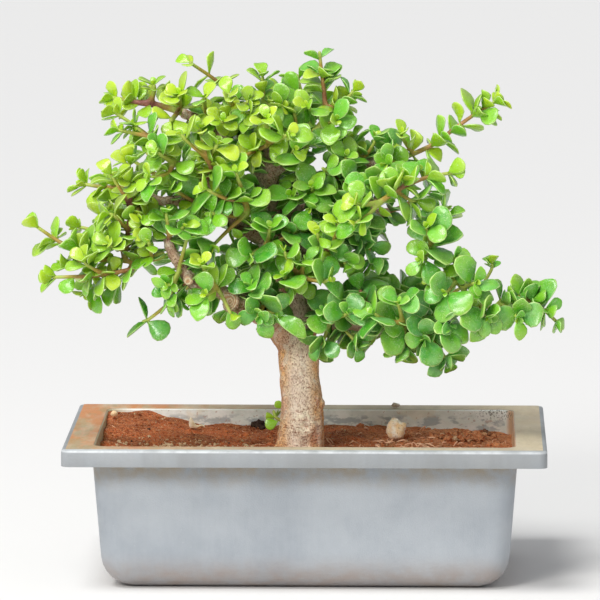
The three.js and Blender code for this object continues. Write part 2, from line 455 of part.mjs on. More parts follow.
  ["back_low_right_in", "wood", [55, 27, 156], [61, 40, 158], [67, 48, 161], 2, 15, 0.2],
  ["back_low_hang", "wood", [36, 17, 156], [36, 32, 154], [33, 42, 145], 2, 16, 0.1],
  ["back_low_hang_out", "back_low_hang", [36, 28, 156], [50, 40, 155], [56, 44, 159], 1, 16, 0.2],
];
const GRIP = { reach: 0.3, merge: 4.5, endRoom: 1.3, footRoom: 2, bulk: 2 };
const GIRTH = { tip: 0.75, least: 1, most: 2.6, base: 0.75, perMillimetre: 0.0085 };
const SQUARE_OF_ROUND = 0.88;
const JOINTS = { first: 0.32, lastRoom: 1.6, crowding: 1.2, lone: 0.85, airy: 4 };
const SECOND_PAIR = { airy: 0.3, bushy: 0.95, size: 0.84 };
const RING_STEP = 24;
const SEARCH_STEPS = 50;
const CROWN_MIDDLE = V(-5, -8, 200);
const SIGHT_FALL = 0.126;
// Gaps that pruning has left in the crown: [x, height at the trunk, radius, how far back they reach].
const WINDOWS = [
  [-20, 234, 8, -12], [-41, 206, 6, -22], [-31, 196, 6, -16], [-84, 220, 6, -36], [-69, 219, 6, -36],
  [-82, 193, 6, -54], [-75, 182, 6, -54], [-69, 173, 6, -54], [-46, 160, 9, -52], [-5, 158, 7, -24],
  [52, 199, 8, 99], [53, 183, 8, 99], [12, 163, 4, 99], [6, 245, 6, 99], [4, 238, 5, 99],
  [-7, 212, 4, 99], [-50, 196, 6, 99], [56, 218, 5, 99],
];
// Half of a blade's outline: [share of its length, half its width as a share of its length].
const OUTLINES = { broad: [[0.26, 0.27], [0.6, 0.46], [0.93, 0.3]], small: [[0.36, 0.4], [0.88, 0.34]] };
// How a leaf gives way to its neighbours: [lift in degrees, swing in degrees, size].
const GIVES = [
  [0, 0, 1], [18, 0, 1], [-18, 0, 1], [0, 22, 0.95], [0, -22, 0.95], [34, 0, 0.9], [-36, 0, 0.9],
  [16, 28, 0.85], [16, -28, 0.85], [-16, 28, 0.85], [-16, -28, 0.85],
  [0, 0, 0.7], [28, 0, 0.7], [-28, 0, 0.7],
];
const SPREAD = { old: 66, young: 50, jitter: 22 };
const FACING = { old: 0.72, young: 0.5, limit: 0.3 };
const BLADE = {
  growth: 1.05, small: 17, fall: 0.1, cup: 0.07, young: 0.8, shrinkOld: 0.1, shrinkYoung: 0.3, jitter: 0.18,
};

// Where a shoot leaves the wood nearest to a point: square to the limb, or straight on from its end.
function rootOnWood(near, toward) {
  let best = null;
  for (const limb of limbs) {
    for (const sample of limb.samples) {
      const distance = sample.at.distanceTo(near) - sample.radius;
      if (!best || distance < best.distance) best = { distance, limb, sample };
    }
  }
  const { limb, sample } = best;
  const along = limb.line.getTangent(sample.t);
  const atEnd = sample.t === 1;
  const across = toward.clone().sub(sample.at);
  across.addScaledVector(along, -across.dot(along)).normalize();
  const direction = atEnd ? along : across;
  const start = atEnd ? GAP : GAP + sample.radius * (1 + BARK.swell + BARK.depth);
  const foot = sample.at.clone().addScaledVector(direction, start);
  const others = limbs.filter((other) => other !== limb).flatMap((other) => other.samples);
  const isBuried = () => others.some((s) => s.at.distanceTo(foot) < s.radius + GRIP.bulk);
  while (isBuried()) foot.addScaledVector(direction, GAP);
  return { foot, direction };
}

function routeOf(foot, direction, handle, tip) {
  const reach = foot.distanceTo(tip) * GRIP.reach;
  return new THREE.CubicBezierCurve3(foot, foot.clone().addScaledVector(direction, reach), handle, tip);
}

// Joints stand closer together towards the tip.
function jointPlaces(shoot) {
  const last = 1 - JOINTS.lastRoom / shoot.length;
  if (shoot.count === 1) return [mix(JOINTS.first, last, JOINTS.lone)];
  const shareOf = (k) => 1 - (1 - k / (shoot.count - 1)) ** JOINTS.crowding;
  return Array.from({ length: shoot.count }, (_, k) => mix(JOINTS.first, last, shareOf(k)));
}

function placeOnStem(shoot, near) {
  const distance = (t) => shoot.route.getPoint(t).distanceTo(near);
  const steps = Array.from({ length: SEARCH_STEPS + 1 }, (_, step) => step / SEARCH_STEPS);
  const nearest = steps.reduce((best, t) => (distance(t) < distance(best) ? t : best));
  return Math.min(Math.max(nearest, GRIP.footRoom / shoot.length), 1 - GRIP.endRoom / shoot.length);
}

// A joint is a short band of stem that carries a pair of leaves, side shoots or both.
function jointNear(shoot, t) {
  const close = shoot.joints.find((joint) => Math.abs(joint.t - t) * shoot.length < GRIP.merge);
  if (close) return close;
  const joint = { t, children: [], taken: [], shoot };
  shoot.joints.push(joint);
  shoot.joints.sort((a, b) => a.t - b.t);
  return joint;
}

function makeShoots() {
  const shoots = new Map();
  SHOOTS.forEach(([name, from, near, handle, tip, count, leaf, youth], index) => {
    const shoot = { name, index, count, leaf, youth, children: [] };
    const bend = vector(handle);
    let grip = null;
    if (from === "wood") {
      grip = rootOnWood(vector(near), bend);
    } else {
      const parent = shoots.get(from);
      const joint = jointNear(parent, placeOnStem(parent, vector(near)));
      const along = parent.route.getTangent(joint.t);
      const foot = parent.route.getPoint(joint.t);
      const direction = bend.clone().sub(foot);
      direction.addScaledVector(along, -direction.dot(along)).normalize();
      grip = { foot, direction };
      joint.children.push(shoot);
      parent.children.push(shoot);
      shoot.on = joint;
    }
    shoot.route = routeOf(grip.foot, grip.direction, bend, vector(tip));
    shoot.length = shoot.route.getLength();
    shoot.joints = jointPlaces(shoot).map((t) => ({ t, children: [], taken: [], shoot }));
    shoots.set(name, shoot);
  });
  return [...shoots.values()];
}

// What a shoot carries, its own length included, sets how thick its foot is.
function load(shoot) {
  return shoot.length + shoot.children.reduce((sum, child) => sum + load(child), 0);
}

function halfWidth(shoot, t) {
  const foot = Math.min(Math.max(GIRTH.base + GIRTH.perMillimetre * load(shoot), GIRTH.least), GIRTH.most);
  return SQUARE_OF_ROUND * mix(foot, GIRTH.tip, t);
}

// The places along a stem where it has a ring of four corners; each joint notes its lower ring.
function stationsOf(shoot) {
  const half = LEAF.root / 2 / shoot.length;
  const places = [0];
  const runTo = (t) => {
    const from = places.at(-1);
    const extra = Math.floor(((t - from) * shoot.length) / RING_STEP);
    for (let i = 1; i <= extra; i += 1) places.push(mix(from, t, i / (extra + 1)));
    places.push(t);
  };
  for (const joint of shoot.joints) {
    runTo(joint.t - half);
    joint.low = places.length - 1;
    places.push(joint.t + half);
  }
  runTo(1);
  return places;
}

function outOf(frame, face) {
  const angle = (face * Math.PI) / 2;
  return frame.normal.clone().multiplyScalar(Math.cos(angle)).addScaledVector(frame.side, Math.sin(angle));
}

function corners(centre, frame, half) {
  const out = (corner) => outOf(frame, corner - 0.5).multiplyScalar(half * Math.SQRT2);
  return [0, 1, 2, 3].map((corner) => centre.clone().add(out(corner)));
}

function layStem(shoot) {
  const turn = (chance(shoot.index) * Math.PI) / 2;
  const level = shoot.route.getTangent(0).cross(TO_FRONT).normalize();
  let normal = level.applyAxisAngle(shoot.route.getTangent(0), turn);
  if (shoot.on) {
    const { shoot: parent, low } = shoot.on;
    const joint = parent.rings[low];
    const heading = shoot.route.getTangent(0);
    const free = [0, 1, 2, 3].filter((face) => !shoot.on.taken.includes(face));
    const aim = (face) => outOf(joint.frame, face).dot(heading);
    shoot.face = free.reduce((best, face) => (aim(face) > aim(best) ? face : best));
    shoot.on.taken.push(shoot.face);
    normal = joint.frame.tangent.clone().negate();
  }
  shoot.rings = stationsOf(shoot).map((t) => {
    const frame = carryFrame(shoot.route.getTangent(t), normal);
    normal = frame.normal;
    const centre = shoot.route.getPoint(t);
    return { t, frame, centre, corners: corners(centre, frame, halfWidth(shoot, t)) };
  });
  if (shoot.on) {
    const [low, high] = [0, 1].map((i) => shoot.on.shoot.rings[shoot.on.low + i].corners);
    const [near, far] = [shoot.face, (shoot.face + 1) % 4];
    shoot.rings[0].corners = [low[near], low[far], high[far], high[near]];
  }
}

// ---- keeping clear ----
const FLAT_CROSS = 1e-4;
const LIMB_MARGIN = 1.08;
const LIMB_CORNERS = 8;

// A convex thing that a leaf must miss: its points, the directions it is flat or long in, and its size.
function convex(points, axes, joints = []) {
  const centre = points.reduce((sum, p) => sum.add(p), V(0, 0, 0)).divideScalar(points.length);
  const reach = Math.max(...points.map((p) => p.distanceTo(centre)));
  return { points, axes, centre, reach, joints };
}

function spanAlong(points, axis) {
  let [low, high] = [Infinity, -Infinity];
  for (const point of points) {
    const along = point.dot(axis);
    low = Math.min(low, along);
    high = Math.max(high, along);
  }
  return [low, high];
}

function areApart(a, b) {
  const between = b.centre.clone().sub(a.centre);
  if (between.length() > a.reach + b.reach + GAP) return true;
  const crosses = a.axes.flatMap((p) => b.axes.map((q) => p.clone().cross(q)));
  return [...a.axes, ...b.axes, between, ...crosses].some((axis) => {
    if (axis.lengthSq() < FLAT_CROSS) return false;
    const line = axis.clone().normalize();
    const [lowA, highA] = spanAlong(a.points, line);
    const [lowB, highB] = spanAlong(b.points, line);
    return lowB - highA > GAP || lowA - highB > GAP;
  });
}

function limbPieces(limb) {
  return limb.samples.slice(1).map((sample, i) => {
    const along = sample.at.clone().sub(limb.samples[i].at).normalize();
    const frame = carryFrame(along, TO_FRONT);
    const widen = (1 + BARK.swell + BARK.depth) * LIMB_MARGIN;
    const points = [limb.samples[i], sample].flatMap((end) =>
      Array.from({ length: LIMB_CORNERS }, (_, corner) =>
        end.at.clone().addScaledVector(outOf(frame, (4 * corner) / LIMB_CORNERS), end.radius * widen),
      ),
    );
    return convex(points, [along, frame.normal, frame.side]);
  });
}

function stemPieces(shoot) {
  return shoot.rings.slice(1).map((ring, i) => {
    const before = shoot.rings[i];
    const touching = shoot.joints.filter((joint) => Math.abs(joint.low - i) <= 1);
    if (i === 0 && shoot.on) touching.push(shoot.on);
    const axes = [ring.frame.tangent, ring.frame.normal, ring.frame.side];
    return convex([...before.corners, ...ring.corners], axes, touching);
  });
}

// ---- leaves ----
const LIGHT = { side: 160, rise: 200, depth: 25, front: 0.85, above: 0.5 };
const TURN_BACK = 0.7;
const FULLEST = 0.58;
const SPOTS = [0.4, 0.75, 1];

// A pair's leaves lean from the stem towards its tip and turn their faces to the light outside the crown.
function leafAt(joint, face, [lift, swing, size]) {
  const { shoot } = joint;
  const [low, high] = [shoot.rings[joint.low], shoot.rings[joint.low + 1]];
  const order = shoot.joints.indexOf(joint);
  const luck = (n) => chance(shoot.index, order, face, n);
  const outward = outOf(low.frame, face);
  const sideways = low.frame.tangent.clone().cross(outward);
  const share = shoot.joints.length > 1 ? order / (shoot.joints.length - 1) : 0.5;
  const open = mix(SPREAD.old, SPREAD.young, share * shoot.youth);
  const spread = ((open + SPREAD.jitter * (luck(1) - 0.5) - lift) * Math.PI) / 180;
  const turn = ((swing + SPREAD.jitter * (luck(2) - 0.5)) * Math.PI) / 180;
  const along = low.frame.tangent.clone().multiplyScalar(Math.cos(spread));
  along.addScaledVector(outward, Math.sin(spread) * Math.cos(turn));
  along.addScaledVector(sideways, Math.sin(spread) * Math.sin(turn)).normalize();
  const root = low.centre.clone().add(high.centre).multiplyScalar(0.5);
  root.addScaledVector(outward, halfWidth(shoot, joint.t));

  const off = root.clone().sub(CROWN_MIDDLE);
  const front = LIGHT.front * Math.min(Math.max(off.y / LIGHT.depth, -1), 1);
  const light = V(off.x / LIGHT.side, front, LIGHT.above + off.z / LIGHT.rise);
  light.addScaledVector(along, -light.dot(along)).normalize();
  const natural = low.frame.tangent.clone();
  natural.addScaledVector(along, -natural.dot(along)).normalize();
  let facing = mix(FACING.old, FACING.young, shoot.youth);
  let normal = natural;
  do {
    normal = natural.clone().multiplyScalar(1 - facing).addScaledVector(light, facing).normalize();
    facing *= TURN_BACK;
  } while (normal.dot(natural) < FACING.limit);
  const across = normal.clone().cross(along);

  const shrink = mix(BLADE.shrinkOld, BLADE.shrinkYoung, shoot.youth) * share * share;
  const length = BLADE.growth * shoot.leaf * size * (1 - shrink) * (1 + BLADE.jitter * (luck(3) - 0.5));
  const slim = mix(1, BLADE.young, shoot.youth * luck(4));
  const blade = (s, w, rise) =>
    root
      .clone()
      .addScaledVector(along, s * length)
      .addScaledVector(across, w * length * slim)
      .addScaledVector(normal, rise + length * (BLADE.cup * 4 * w * w - BLADE.fall * s * s));
  const outline = length < BLADE.small ? OUTLINES.small : OUTLINES.broad;
  const left = outline.map(([s, w]) => blade(s, -w, 0));
  const right = outline.map(([s, w]) => blade(s, w, 0)).reverse();
  const top = blade(FULLEST, 0, LEAF.thickness / 2);
  const bottom = blade(FULLEST, 0, -LEAF.thickness / 2);
  const rim = [...left, ...right];
  const foot = (ring) => ring.centre.clone().addScaledVector(outward, halfWidth(shoot, ring.t));
  const body = convex([...rim, top, bottom, foot(low), foot(high)], [along, normal, across]);
  return { rim, top, bottom, body, spots: SPOTS.map((s) => blade(s, 0, 0)), face };
}

function isInWindow(leaf) {
  return WINDOWS.some(([x, height, radius, reach]) =>
    leaf.spots.some((p) => p.y < reach && Math.hypot(p.x - x, p.z + SIGHT_FALL * p.y - height) < radius),
  );
}

// Pairs cross from one joint to the next; a second pair, across the first, stands at the bushy joints.
function facesOf(joint, pair) {
  const { shoot } = joint;
  const order = shoot.joints.indexOf(joint);
  const likely = shoot.count >= JOINTS.airy ? SECOND_PAIR.airy : SECOND_PAIR.bushy;
  if (shoot.count === 0 || (pair === 1 && chance(shoot.index, order) > likely)) return [];
  const faces = (order + pair) % 2 ? [1, 3] : [0, 2];
  return faces.filter((face) => !joint.taken.includes(face));
}

function chooseLeaves(shoots) {
  const taken = [...limbs.flatMap(limbPieces), ...shoots.flatMap(stemPieces)];
  const joints = shoots.flatMap((shoot) => [...shoot.joints].reverse());
  for (const joint of joints) joint.leaves = [];
  const misses = (body, joint) => (other) => other.joints.includes(joint) || areApart(body, other);
  for (const pair of [0, 1]) {
    const scale = pair ? SECOND_PAIR.size : 1;
    for (const joint of joints) {
      for (const face of facesOf(joint, pair)) {
        const ways = GIVES.map(([lift, swing, size]) => leafAt(joint, face, [lift, swing, size * scale]));
        const leaf = ways.find((one) => !isInWindow(one) && taken.every(misses(one.body, joint)));
        if (!leaf) continue;
        taken.push(leaf.body);
        joint.leaves.push(leaf);
      }
    }
  }
}

// ---- sprays as solids ----
// A leaf grows out of one face of a joint, and a side shoot out of another, so a spray is one closed skin.
function makeSpray(main) {
  const points = [];
  const faces = [];
  const put = (point) => points.push(point) - 1;
  const close = (a, b, c, d) => faces.push([a, b, c], [a, c, d]);
  const sewLeaf = (leaf, a, b, c, d) => {
    const rim = leaf.rim.map(put);
    const [top, bottom] = [put(leaf.top), put(leaf.bottom)];
    const upper = [d, ...rim, c];
    const under = [a, ...rim, b];
    upper.forEach((p, i) => faces.push([top, p, upper[(i + 1) % upper.length]]));
    under.forEach((p, i) => faces.push([bottom, under[(i + 1) % under.length], p]));
    faces.push([rim[0], d, a], [b, c, rim.at(-1)]);
  };
  const grow = (shoot, foot) => {
    let before = foot;
    shoot.rings.slice(1).forEach((ring, i) => {
      const after = ring.corners.map(put);
      const joint = shoot.joints.find((one) => one.low === i);
      for (let face = 0; face < 4; face += 1) {
        const next = (face + 1) % 4;
        const around = [before[face], before[next], after[next], after[face]];
        const child = joint?.children.find((one) => one.face === face);
        const leaf = joint?.leaves.find((one) => one.face === face);
        if (child) grow(child, around);
        else if (leaf) sewLeaf(leaf, ...around);
        else close(...around);
      }
      before = after;
    });
    close(...before);
  };
  const foot = main.rings[0].corners.map(put);
  close(...[...foot].reverse());
  grow(main, foot);
  return geometryOf(points, faces);
}

// ---- stones and litter ----
// name, middle [x, y], half sizes, how many times the ball is split, how unevenly it is worn, colour
const STONES = [
  ["pebble", [52, 15], [6.1, 5.6, 6.8], 1, 0.12, 0xc9b39a],
  ["rim_clod", [51, 81], [3, 2.2, 1.8], 0, 0.1, 0x8f8079],
  ["dry_chip", [-67, 48], [4.6, 2, 3.6], 1, 0.3, 0xd9c9a6],
  ["corner_stone", [-117, 52], [2.4, 2.2, 2], 0, 0.1, 0xe0c29a],
];
const STONE_CLEARANCE = 0.7;

function makeStone([, [x, y], [rx, ry, rz], detail, wear], index) {
  const ball = new THREE.IcosahedronGeometry(1, detail);
  const place = ball.attributes.position;
  for (let i = 0; i < place.count; i += 1) {
    const p = V(place.getX(i), place.getY(i), place.getZ(i));
    p.multiplyScalar(1 + wear * Math.sin(3 * p.x + 2 * p.y + 4 * p.z + index));
    place.setXYZ(i, p.x, p.y, p.z);
  }
  const onRim = Math.abs(y) > BODY.topDepth / 2;
  const ground = onRim ? RIM.height + GAP : soilHeight(x, y) + STONE_CLEARANCE;
  ball.scale(rx, ry, rz);
  ball.computeBoundingBox();
  return geometryOfSolid(solidOf(ball.translate(x, y, ground - ball.boundingBox.min.z)));
}

// ---- the whole ----
// How young a spray's leaves are on the whole.
function youthOf(main) {
  const family = (shoot) => [shoot, ...shoot.children.flatMap(family)];
  const joints = family(main).flatMap((shoot) => shoot.joints);
  const youths = joints.flatMap((joint) => joint.leaves.map(() => joint.shoot.youth));
  return youths.reduce((sum, youth) => sum + youth, 0) / youths.length;
}

const FINISH = {
  tray: { color: 0xa7b0bb, roughness: 0.55 },
  soil: { color: 0x84482d, roughness: 1 },
  wood: { color: 0xb08a68, roughness: 0.9 },
  mature: { color: 0x4f9a34, roughness: 0.45 },
  young: { color: 0x97c832, roughness: 0.45 },
};

function add(group, name, geometry, finish) {
  const mesh = new THREE.Mesh(geometry, new THREE.MeshStandardMaterial({ metalness: 0, ...finish }));
  mesh.name = name;
  group.add(mesh);
}

const bonsai = new THREE.Group();
bonsai.name = "jade_bonsai";
add(bonsai, "tray", makeTray(), FINISH.tray);
add(bonsai, "soil", makeSoil(), FINISH.soil);
add(bonsai, "wood", makeWood(), FINISH.wood);
STONES.forEach((stone, index) => {
  add(bonsai, stone[0], makeStone(stone, index), { color: stone[5], roughness: 0.9 });
});
const shoots = makeShoots();
shoots.forEach(layStem);
chooseLeaves(shoots);
for (const shoot of shoots.filter((one) => !one.on)) {
  add(bonsai, `spray_${shoot.name}`, makeSpray(shoot), youthOf(shoot) > 0.5 ? FINISH.young : FINISH.mature);
}
export default bonsai;
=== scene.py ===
# %% [markdown]
# # A jade bonsai in a plastic training tray
#
# The real thing is a small-leaved jade, trained over years from one thick trunk, in a
# grey plastic tray of red-brown soil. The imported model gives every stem, leaf and wall
# its place. This lesson builds a finer piece over each of its parts: the tray, the soil,
# a few stones, the wood, and then the sprays with all their leaves.
#
# Everything is in metres, with the tray's foot on the ground and up along Z.

# %% Load the frame
import itertools
import math
import random

import bmesh
import bpy
import numpy as np
from mathutils import Matrix, Vector, noise


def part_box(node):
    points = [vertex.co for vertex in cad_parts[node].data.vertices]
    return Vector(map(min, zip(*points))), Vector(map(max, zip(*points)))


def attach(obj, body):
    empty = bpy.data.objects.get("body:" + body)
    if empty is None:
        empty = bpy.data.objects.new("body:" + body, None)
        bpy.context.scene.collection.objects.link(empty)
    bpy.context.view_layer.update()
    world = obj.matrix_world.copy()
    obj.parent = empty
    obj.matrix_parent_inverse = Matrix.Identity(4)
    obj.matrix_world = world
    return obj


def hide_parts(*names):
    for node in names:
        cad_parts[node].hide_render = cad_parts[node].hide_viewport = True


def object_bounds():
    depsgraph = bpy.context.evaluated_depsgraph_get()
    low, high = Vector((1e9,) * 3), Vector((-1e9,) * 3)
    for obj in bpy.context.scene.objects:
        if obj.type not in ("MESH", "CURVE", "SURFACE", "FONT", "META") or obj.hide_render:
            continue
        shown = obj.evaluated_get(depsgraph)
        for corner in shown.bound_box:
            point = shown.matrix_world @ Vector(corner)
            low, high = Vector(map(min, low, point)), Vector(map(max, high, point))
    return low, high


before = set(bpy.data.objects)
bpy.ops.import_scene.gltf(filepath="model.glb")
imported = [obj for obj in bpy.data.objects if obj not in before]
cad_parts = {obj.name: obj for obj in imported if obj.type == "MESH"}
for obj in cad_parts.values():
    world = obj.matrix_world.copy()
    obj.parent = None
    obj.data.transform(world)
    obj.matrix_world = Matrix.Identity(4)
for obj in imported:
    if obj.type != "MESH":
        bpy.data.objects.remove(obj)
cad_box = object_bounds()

MM = 0.001
ANY_TURN = (0, 6.3)      # radians


def clamp(value, low=0, high=1):
    return min(high, max(low, value))


print("parts in the frame:", len(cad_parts))

# %% [markdown]
# ## The camera
#
# A small plant looks true from a few steps away through a long lens: the tray's front and
# back edges are then almost the same length. The camera stands 3.7 m off, a little above
# the tray's rim.

# %% Camera
AIM = Vector((-4.5, 0, 160.7)) * MM
CAMERA = {"distance": 3.676, "azimuth": 1.4, "elevation": 7.25, "lens": 375, "far": 20}


def place_camera():
    turn = math.radians(CAMERA["azimuth"])
    rise = math.radians(CAMERA["elevation"])
    level = math.cos(rise)
    away = Vector((math.sin(turn) * level, -math.cos(turn) * level, math.sin(rise)))
    bpy.ops.object.camera_add(location=AIM + away * CAMERA["distance"])
    camera = bpy.context.object
    camera.rotation_euler = away.to_track_quat("Z", "Y").to_euler()
    camera.data.lens = CAMERA["lens"]
    camera.data.clip_end = CAMERA["far"]
    bpy.context.scene.camera = camera
    return camera


print("camera at", [round(v, 3) for v in place_camera().location])

# %% [markdown]
# ## Working by hand, in code
#
# Blender's operators act on whatever is selected, so each step first says what that is.
# These few helpers do it: one selects objects, one joins them, two open and close a mesh
# for editing, and one picks faces, edges or corners by where they are.


# %% Selecting and editing
def only(*things):
    """Leaves just these objects selected, the first of them active."""
    bpy.ops.object.select_all(action="DESELECT")
    for thing in things:
        thing.select_set(True)
    bpy.context.view_layer.objects.active = things[0]
    return things[0]


def join(*things):
    """Joins the objects into the first of them."""
    first = only(*things)
    bpy.ops.object.join()
    return first


def open_mesh(thing):
    only(thing)
    bpy.ops.object.mode_set(mode="EDIT")


def close_mesh():
    bpy.ops.object.mode_set(mode="OBJECT")


def close_with(step, **settings):
    """One last step on the whole mesh, and out of edit mode."""
    bpy.ops.mesh.select_all(action="SELECT")
    step(**settings)
    close_mesh()


def pick(kind, rule):
    """In edit mode, selects the faces, edges or corners that the rule says yes to."""
    thing = bpy.context.edit_object
    bpy.ops.mesh.select_mode(type=kind)
    bpy.ops.mesh.select_all(action="DESELECT")
    mesh = bmesh.from_edit_mesh(thing.data)
    rows = {"FACE": mesh.faces, "EDGE": mesh.edges, "VERT": mesh.verts}[kind]
    picked = [row for row in rows if rule(row)]
    for row in picked:
        row.select_set(True)
    mesh.select_flush_mode()
    bmesh.update_edit_mesh(thing.data)
    return len(picked)


def start(add, name, **where):
    """Adds a primitive under a name of its own and applies its place."""
    bpy.ops.object.select_all(action="DESELECT")
    add(**where)
    thing = bpy.context.object
    thing.name = thing.data.name = name
    bpy.ops.object.transform_apply(location=True, rotation=True, scale=True)
    return thing


def modify(thing, kind, **settings):
    """Adds a modifier and applies it at once."""
    only(thing)
    modifier = thing.modifiers.new(kind.title(), kind)
    for field, value in settings.items():
        setattr(modifier, field, value)
    bpy.ops.object.modifier_apply(modifier=modifier.name)


def smooth(thing, degrees):
    only(thing)
    bpy.ops.object.shade_smooth_by_angle(angle=math.radians(degrees))


# %% Numbers on corners, tubes, and finished pieces
def note(thing, label, values=None):
    """Gives every corner a number that a material can read by its label."""
    layer = thing.data.attributes.new(label, "FLOAT", "POINT")
    if values is not None:
        layer.data.foreach_set("value", np.array(values, np.float32))


def new_tubes(name, radius, resolution):
    """An empty curve, of which every line will be a round tube with closed ends."""
    tubes = bpy.data.curves.new(name, "CURVE")
    tubes.dimensions = "3D"
    tubes.bevel_depth = radius
    tubes.bevel_resolution = resolution
    tubes.use_fill_caps = True
    return tubes


def mesh_of(tubes, name):
    thing = bpy.data.objects.new(name, tubes)
    bpy.context.collection.objects.link(thing)
    only(thing)
    bpy.ops.object.convert(target="MESH")
    return thing


def hand_over(thing, material, nodes=()):
    """Gives a piece its material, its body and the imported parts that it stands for."""
    if material:
        thing.data.materials.clear()
        thing.data.materials.append(material)
    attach(thing, "root")
    if nodes:
        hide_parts(*nodes)
    print(f"{thing.name}: {len(thing.data.polygons)} faces")


# %% [markdown]
# ## Building materials
#
# Every finish here is a small network of nodes. Writing them out one by one is long, so
# one helper makes a node with its inputs, and a few more name the steps that come up
# again and again: a sum, a blend of two colours, a soft step from 0 to 1, and a coat of
# paint where a mask is. A node's socket knows which network it is in, its id_data, so most
# of them need not be told.


# %% Node helpers
def node(tree, kind, inputs=None, **settings):
    made = tree.nodes.new("ShaderNode" + kind)
    for field, value in settings.items():
        setattr(made, field, value)
    for key, value in (inputs or {}).items():
        if isinstance(value, bpy.types.NodeSocket):
            tree.links.new(value, made.inputs[key])
        else:
            made.inputs[key].default_value = value
    return made


def calc(operation, *values):
    """Works in the network that the first socket among the values belongs to."""
    tree = next(v.id_data for v in values if isinstance(v, bpy.types.NodeSocket))
    return node(tree, "Math", dict(enumerate(values)), operation=operation).outputs[0]


def times(first, second):
    return calc("MULTIPLY", first, second)


def without(mask):
    """The mask turned round: 1 where it is 0."""
    return calc("SUBTRACT", 1.0, mask)


def mix_colour(mask, low, high):
    inputs = {0: mask, 6: low, 7: high}
    return node(mask.id_data, "Mix", inputs, data_type="RGBA").outputs[2]


def soft_step(value, low, high):
    inputs = {"Value": value, "From Min": low, "From Max": high}
    return node(value.id_data, "MapRange", inputs, interpolation_type="SMOOTHSTEP").outputs[0]


def read(tree, name):
    """An attribute that the mesh carries."""
    return node(tree, "Attribute", attribute_name=name).outputs["Fac"]


def finish(name, **numbers):
    """A new material: its tree, its shader, and the shader's own plain numbers."""
    material = bpy.data.materials.new(name)
    material.use_nodes = True
    tree = material.node_tree
    shader = tree.nodes["Principled BSDF"]
    for label, value in numbers.items():
        label = label.replace("_", " ").title().replace("Ior", "IOR")
        shader.inputs[label].default_value = value
    return material, tree, shader


def feed(shader, **sockets):
    for label, socket in sockets.items():
        shader.id_data.links.new(socket, shader.inputs[label.replace("_", " ").title()])


def roughen(shader, mask, low, high):
    """Roughness goes from one value to the other as the mask goes from 0 to 1."""
    inputs = {"Value": mask, "To Min": low, "To Max": high}
    feed(shader, roughness=node(shader.id_data, "MapRange", inputs).outputs[0])


def rgb(red, green, blue):
    """A colour as seen on a screen, 0 to 255, made ready for the shader."""
    parts = [value / 255 for value in (red, green, blue)]
    return [p / 12.92 if p <= 0.04045 else ((p + 0.055) / 1.055) ** 2.4 for p in parts] + [1]


def paint(colour, *coats):
    """Lays shades over a colour, each where its mask is and as strongly as its share says."""
    for mask, share, shade in coats:
        colour = mix_colour(times(mask, share), colour, rgb(*shade))
    return colour


# %% [markdown]
# ### Two shared effects
#
# Soil, stones, bark and plastic all show the same two things at different scales: specks,
# and clouds of dust or stain. Each is one node group with a few named inputs, so that a
# material only says how large and how dense they are.


# %% Shared node groups
def new_group(name, inputs):
    """A group with number inputs and one mask as its output."""
    group = bpy.data.node_groups.new(name, "ShaderNodeTree")
    kind = "NodeSocketFloat"
    for label, value in inputs.items():
        socket = group.interface.new_socket(name=label, in_out="INPUT", socket_type=kind)
        socket.default_value = value
    group.interface.new_socket(name="Mask", in_out="OUTPUT", socket_type=kind)
    mask = group.nodes.new("NodeGroupOutput").inputs["Mask"]
    return group, group.nodes.new("NodeGroupInput").outputs, mask


def stretched(group, **factors):
    """The place on the object, stretched along its axes."""
    place = node(group, "TexCoord").outputs["Object"]
    squash = node(group, "CombineXYZ", {"X": 1.0, **factors}).outputs[0]
    return node(group, "VectorMath", {0: place, 1: squash}, operation="MULTIPLY").outputs[0]


def make_specks():
    """Specks of a size in millimetres that cover a share of the surface."""
    group, given, mask = new_group("specks", {"Size": 1, "Share": 0.3, "Stretch": 1})
    place = stretched(group, Y=1.0, Z=given["Stretch"])
    scale = calc("DIVIDE", 1000.0, given["Size"])
    grain = node(group, "TexNoise", {"Vector": place, "Scale": scale, "Detail": 2.0}).outputs[0]
    edge = calc("SUBTRACT", 0.8, times(given["Share"], 0.5))
    group.links.new(soft_step(grain, edge, calc("ADD", edge, 0.06)), mask)
    return group


def make_clouds():
    """Soft clouds of a size in millimetres, from 0 to 1, with finer ones inside them."""
    sizes = {"Size": 20, "Detail": 4, "Stretch": 1, "Deep": 1}
    group, given, mask = new_group("clouds", sizes)
    place = stretched(group, Y=given["Deep"], Z=given["Stretch"])
    scale = calc("DIVIDE", 1000.0, given["Size"])
    inputs = {"Vector": place, "Scale": scale, "Detail": given["Detail"], "Roughness": 0.6}
    cloud = node(group, "TexNoise", inputs).outputs[0]
    group.links.new(soft_step(cloud, 0.3, 0.7), mask)
    return group


SPECKS = make_specks()
CLOUDS = make_clouds()


def effect(tree, group, **values):
    made = node(tree, "Group", node_tree=group)
    for label, value in values.items():
        made.inputs[label.title()].default_value = value
    return made.outputs[0]


def specks(tree, size, share, stretch=1.0):
    return effect(tree, SPECKS, size=size, share=share, stretch=stretch)


def clouds(tree, size, detail=4.0, stretch=1.0, deep=1.0):
    return effect(tree, CLOUDS, size=size, detail=detail, stretch=stretch, deep=deep)


def relief(shader, height, depth):
    """Feeds a height, in metres for a full step, to the shader's normal."""
    bump = node(shader.id_data, "Bump", {"Height": height, "Distance": depth, "Strength": 1.0})
    feed(shader, normal=bump.outputs[0])


def place_on(tree):
    """Where on the object a point is: its X, Y and Z."""
    place = node(tree, "TexCoord").outputs["Object"]
    return node(tree, "SeparateXYZ", {0: place}).outputs


print("shared effects:", SPECKS.name, CLOUDS.name)

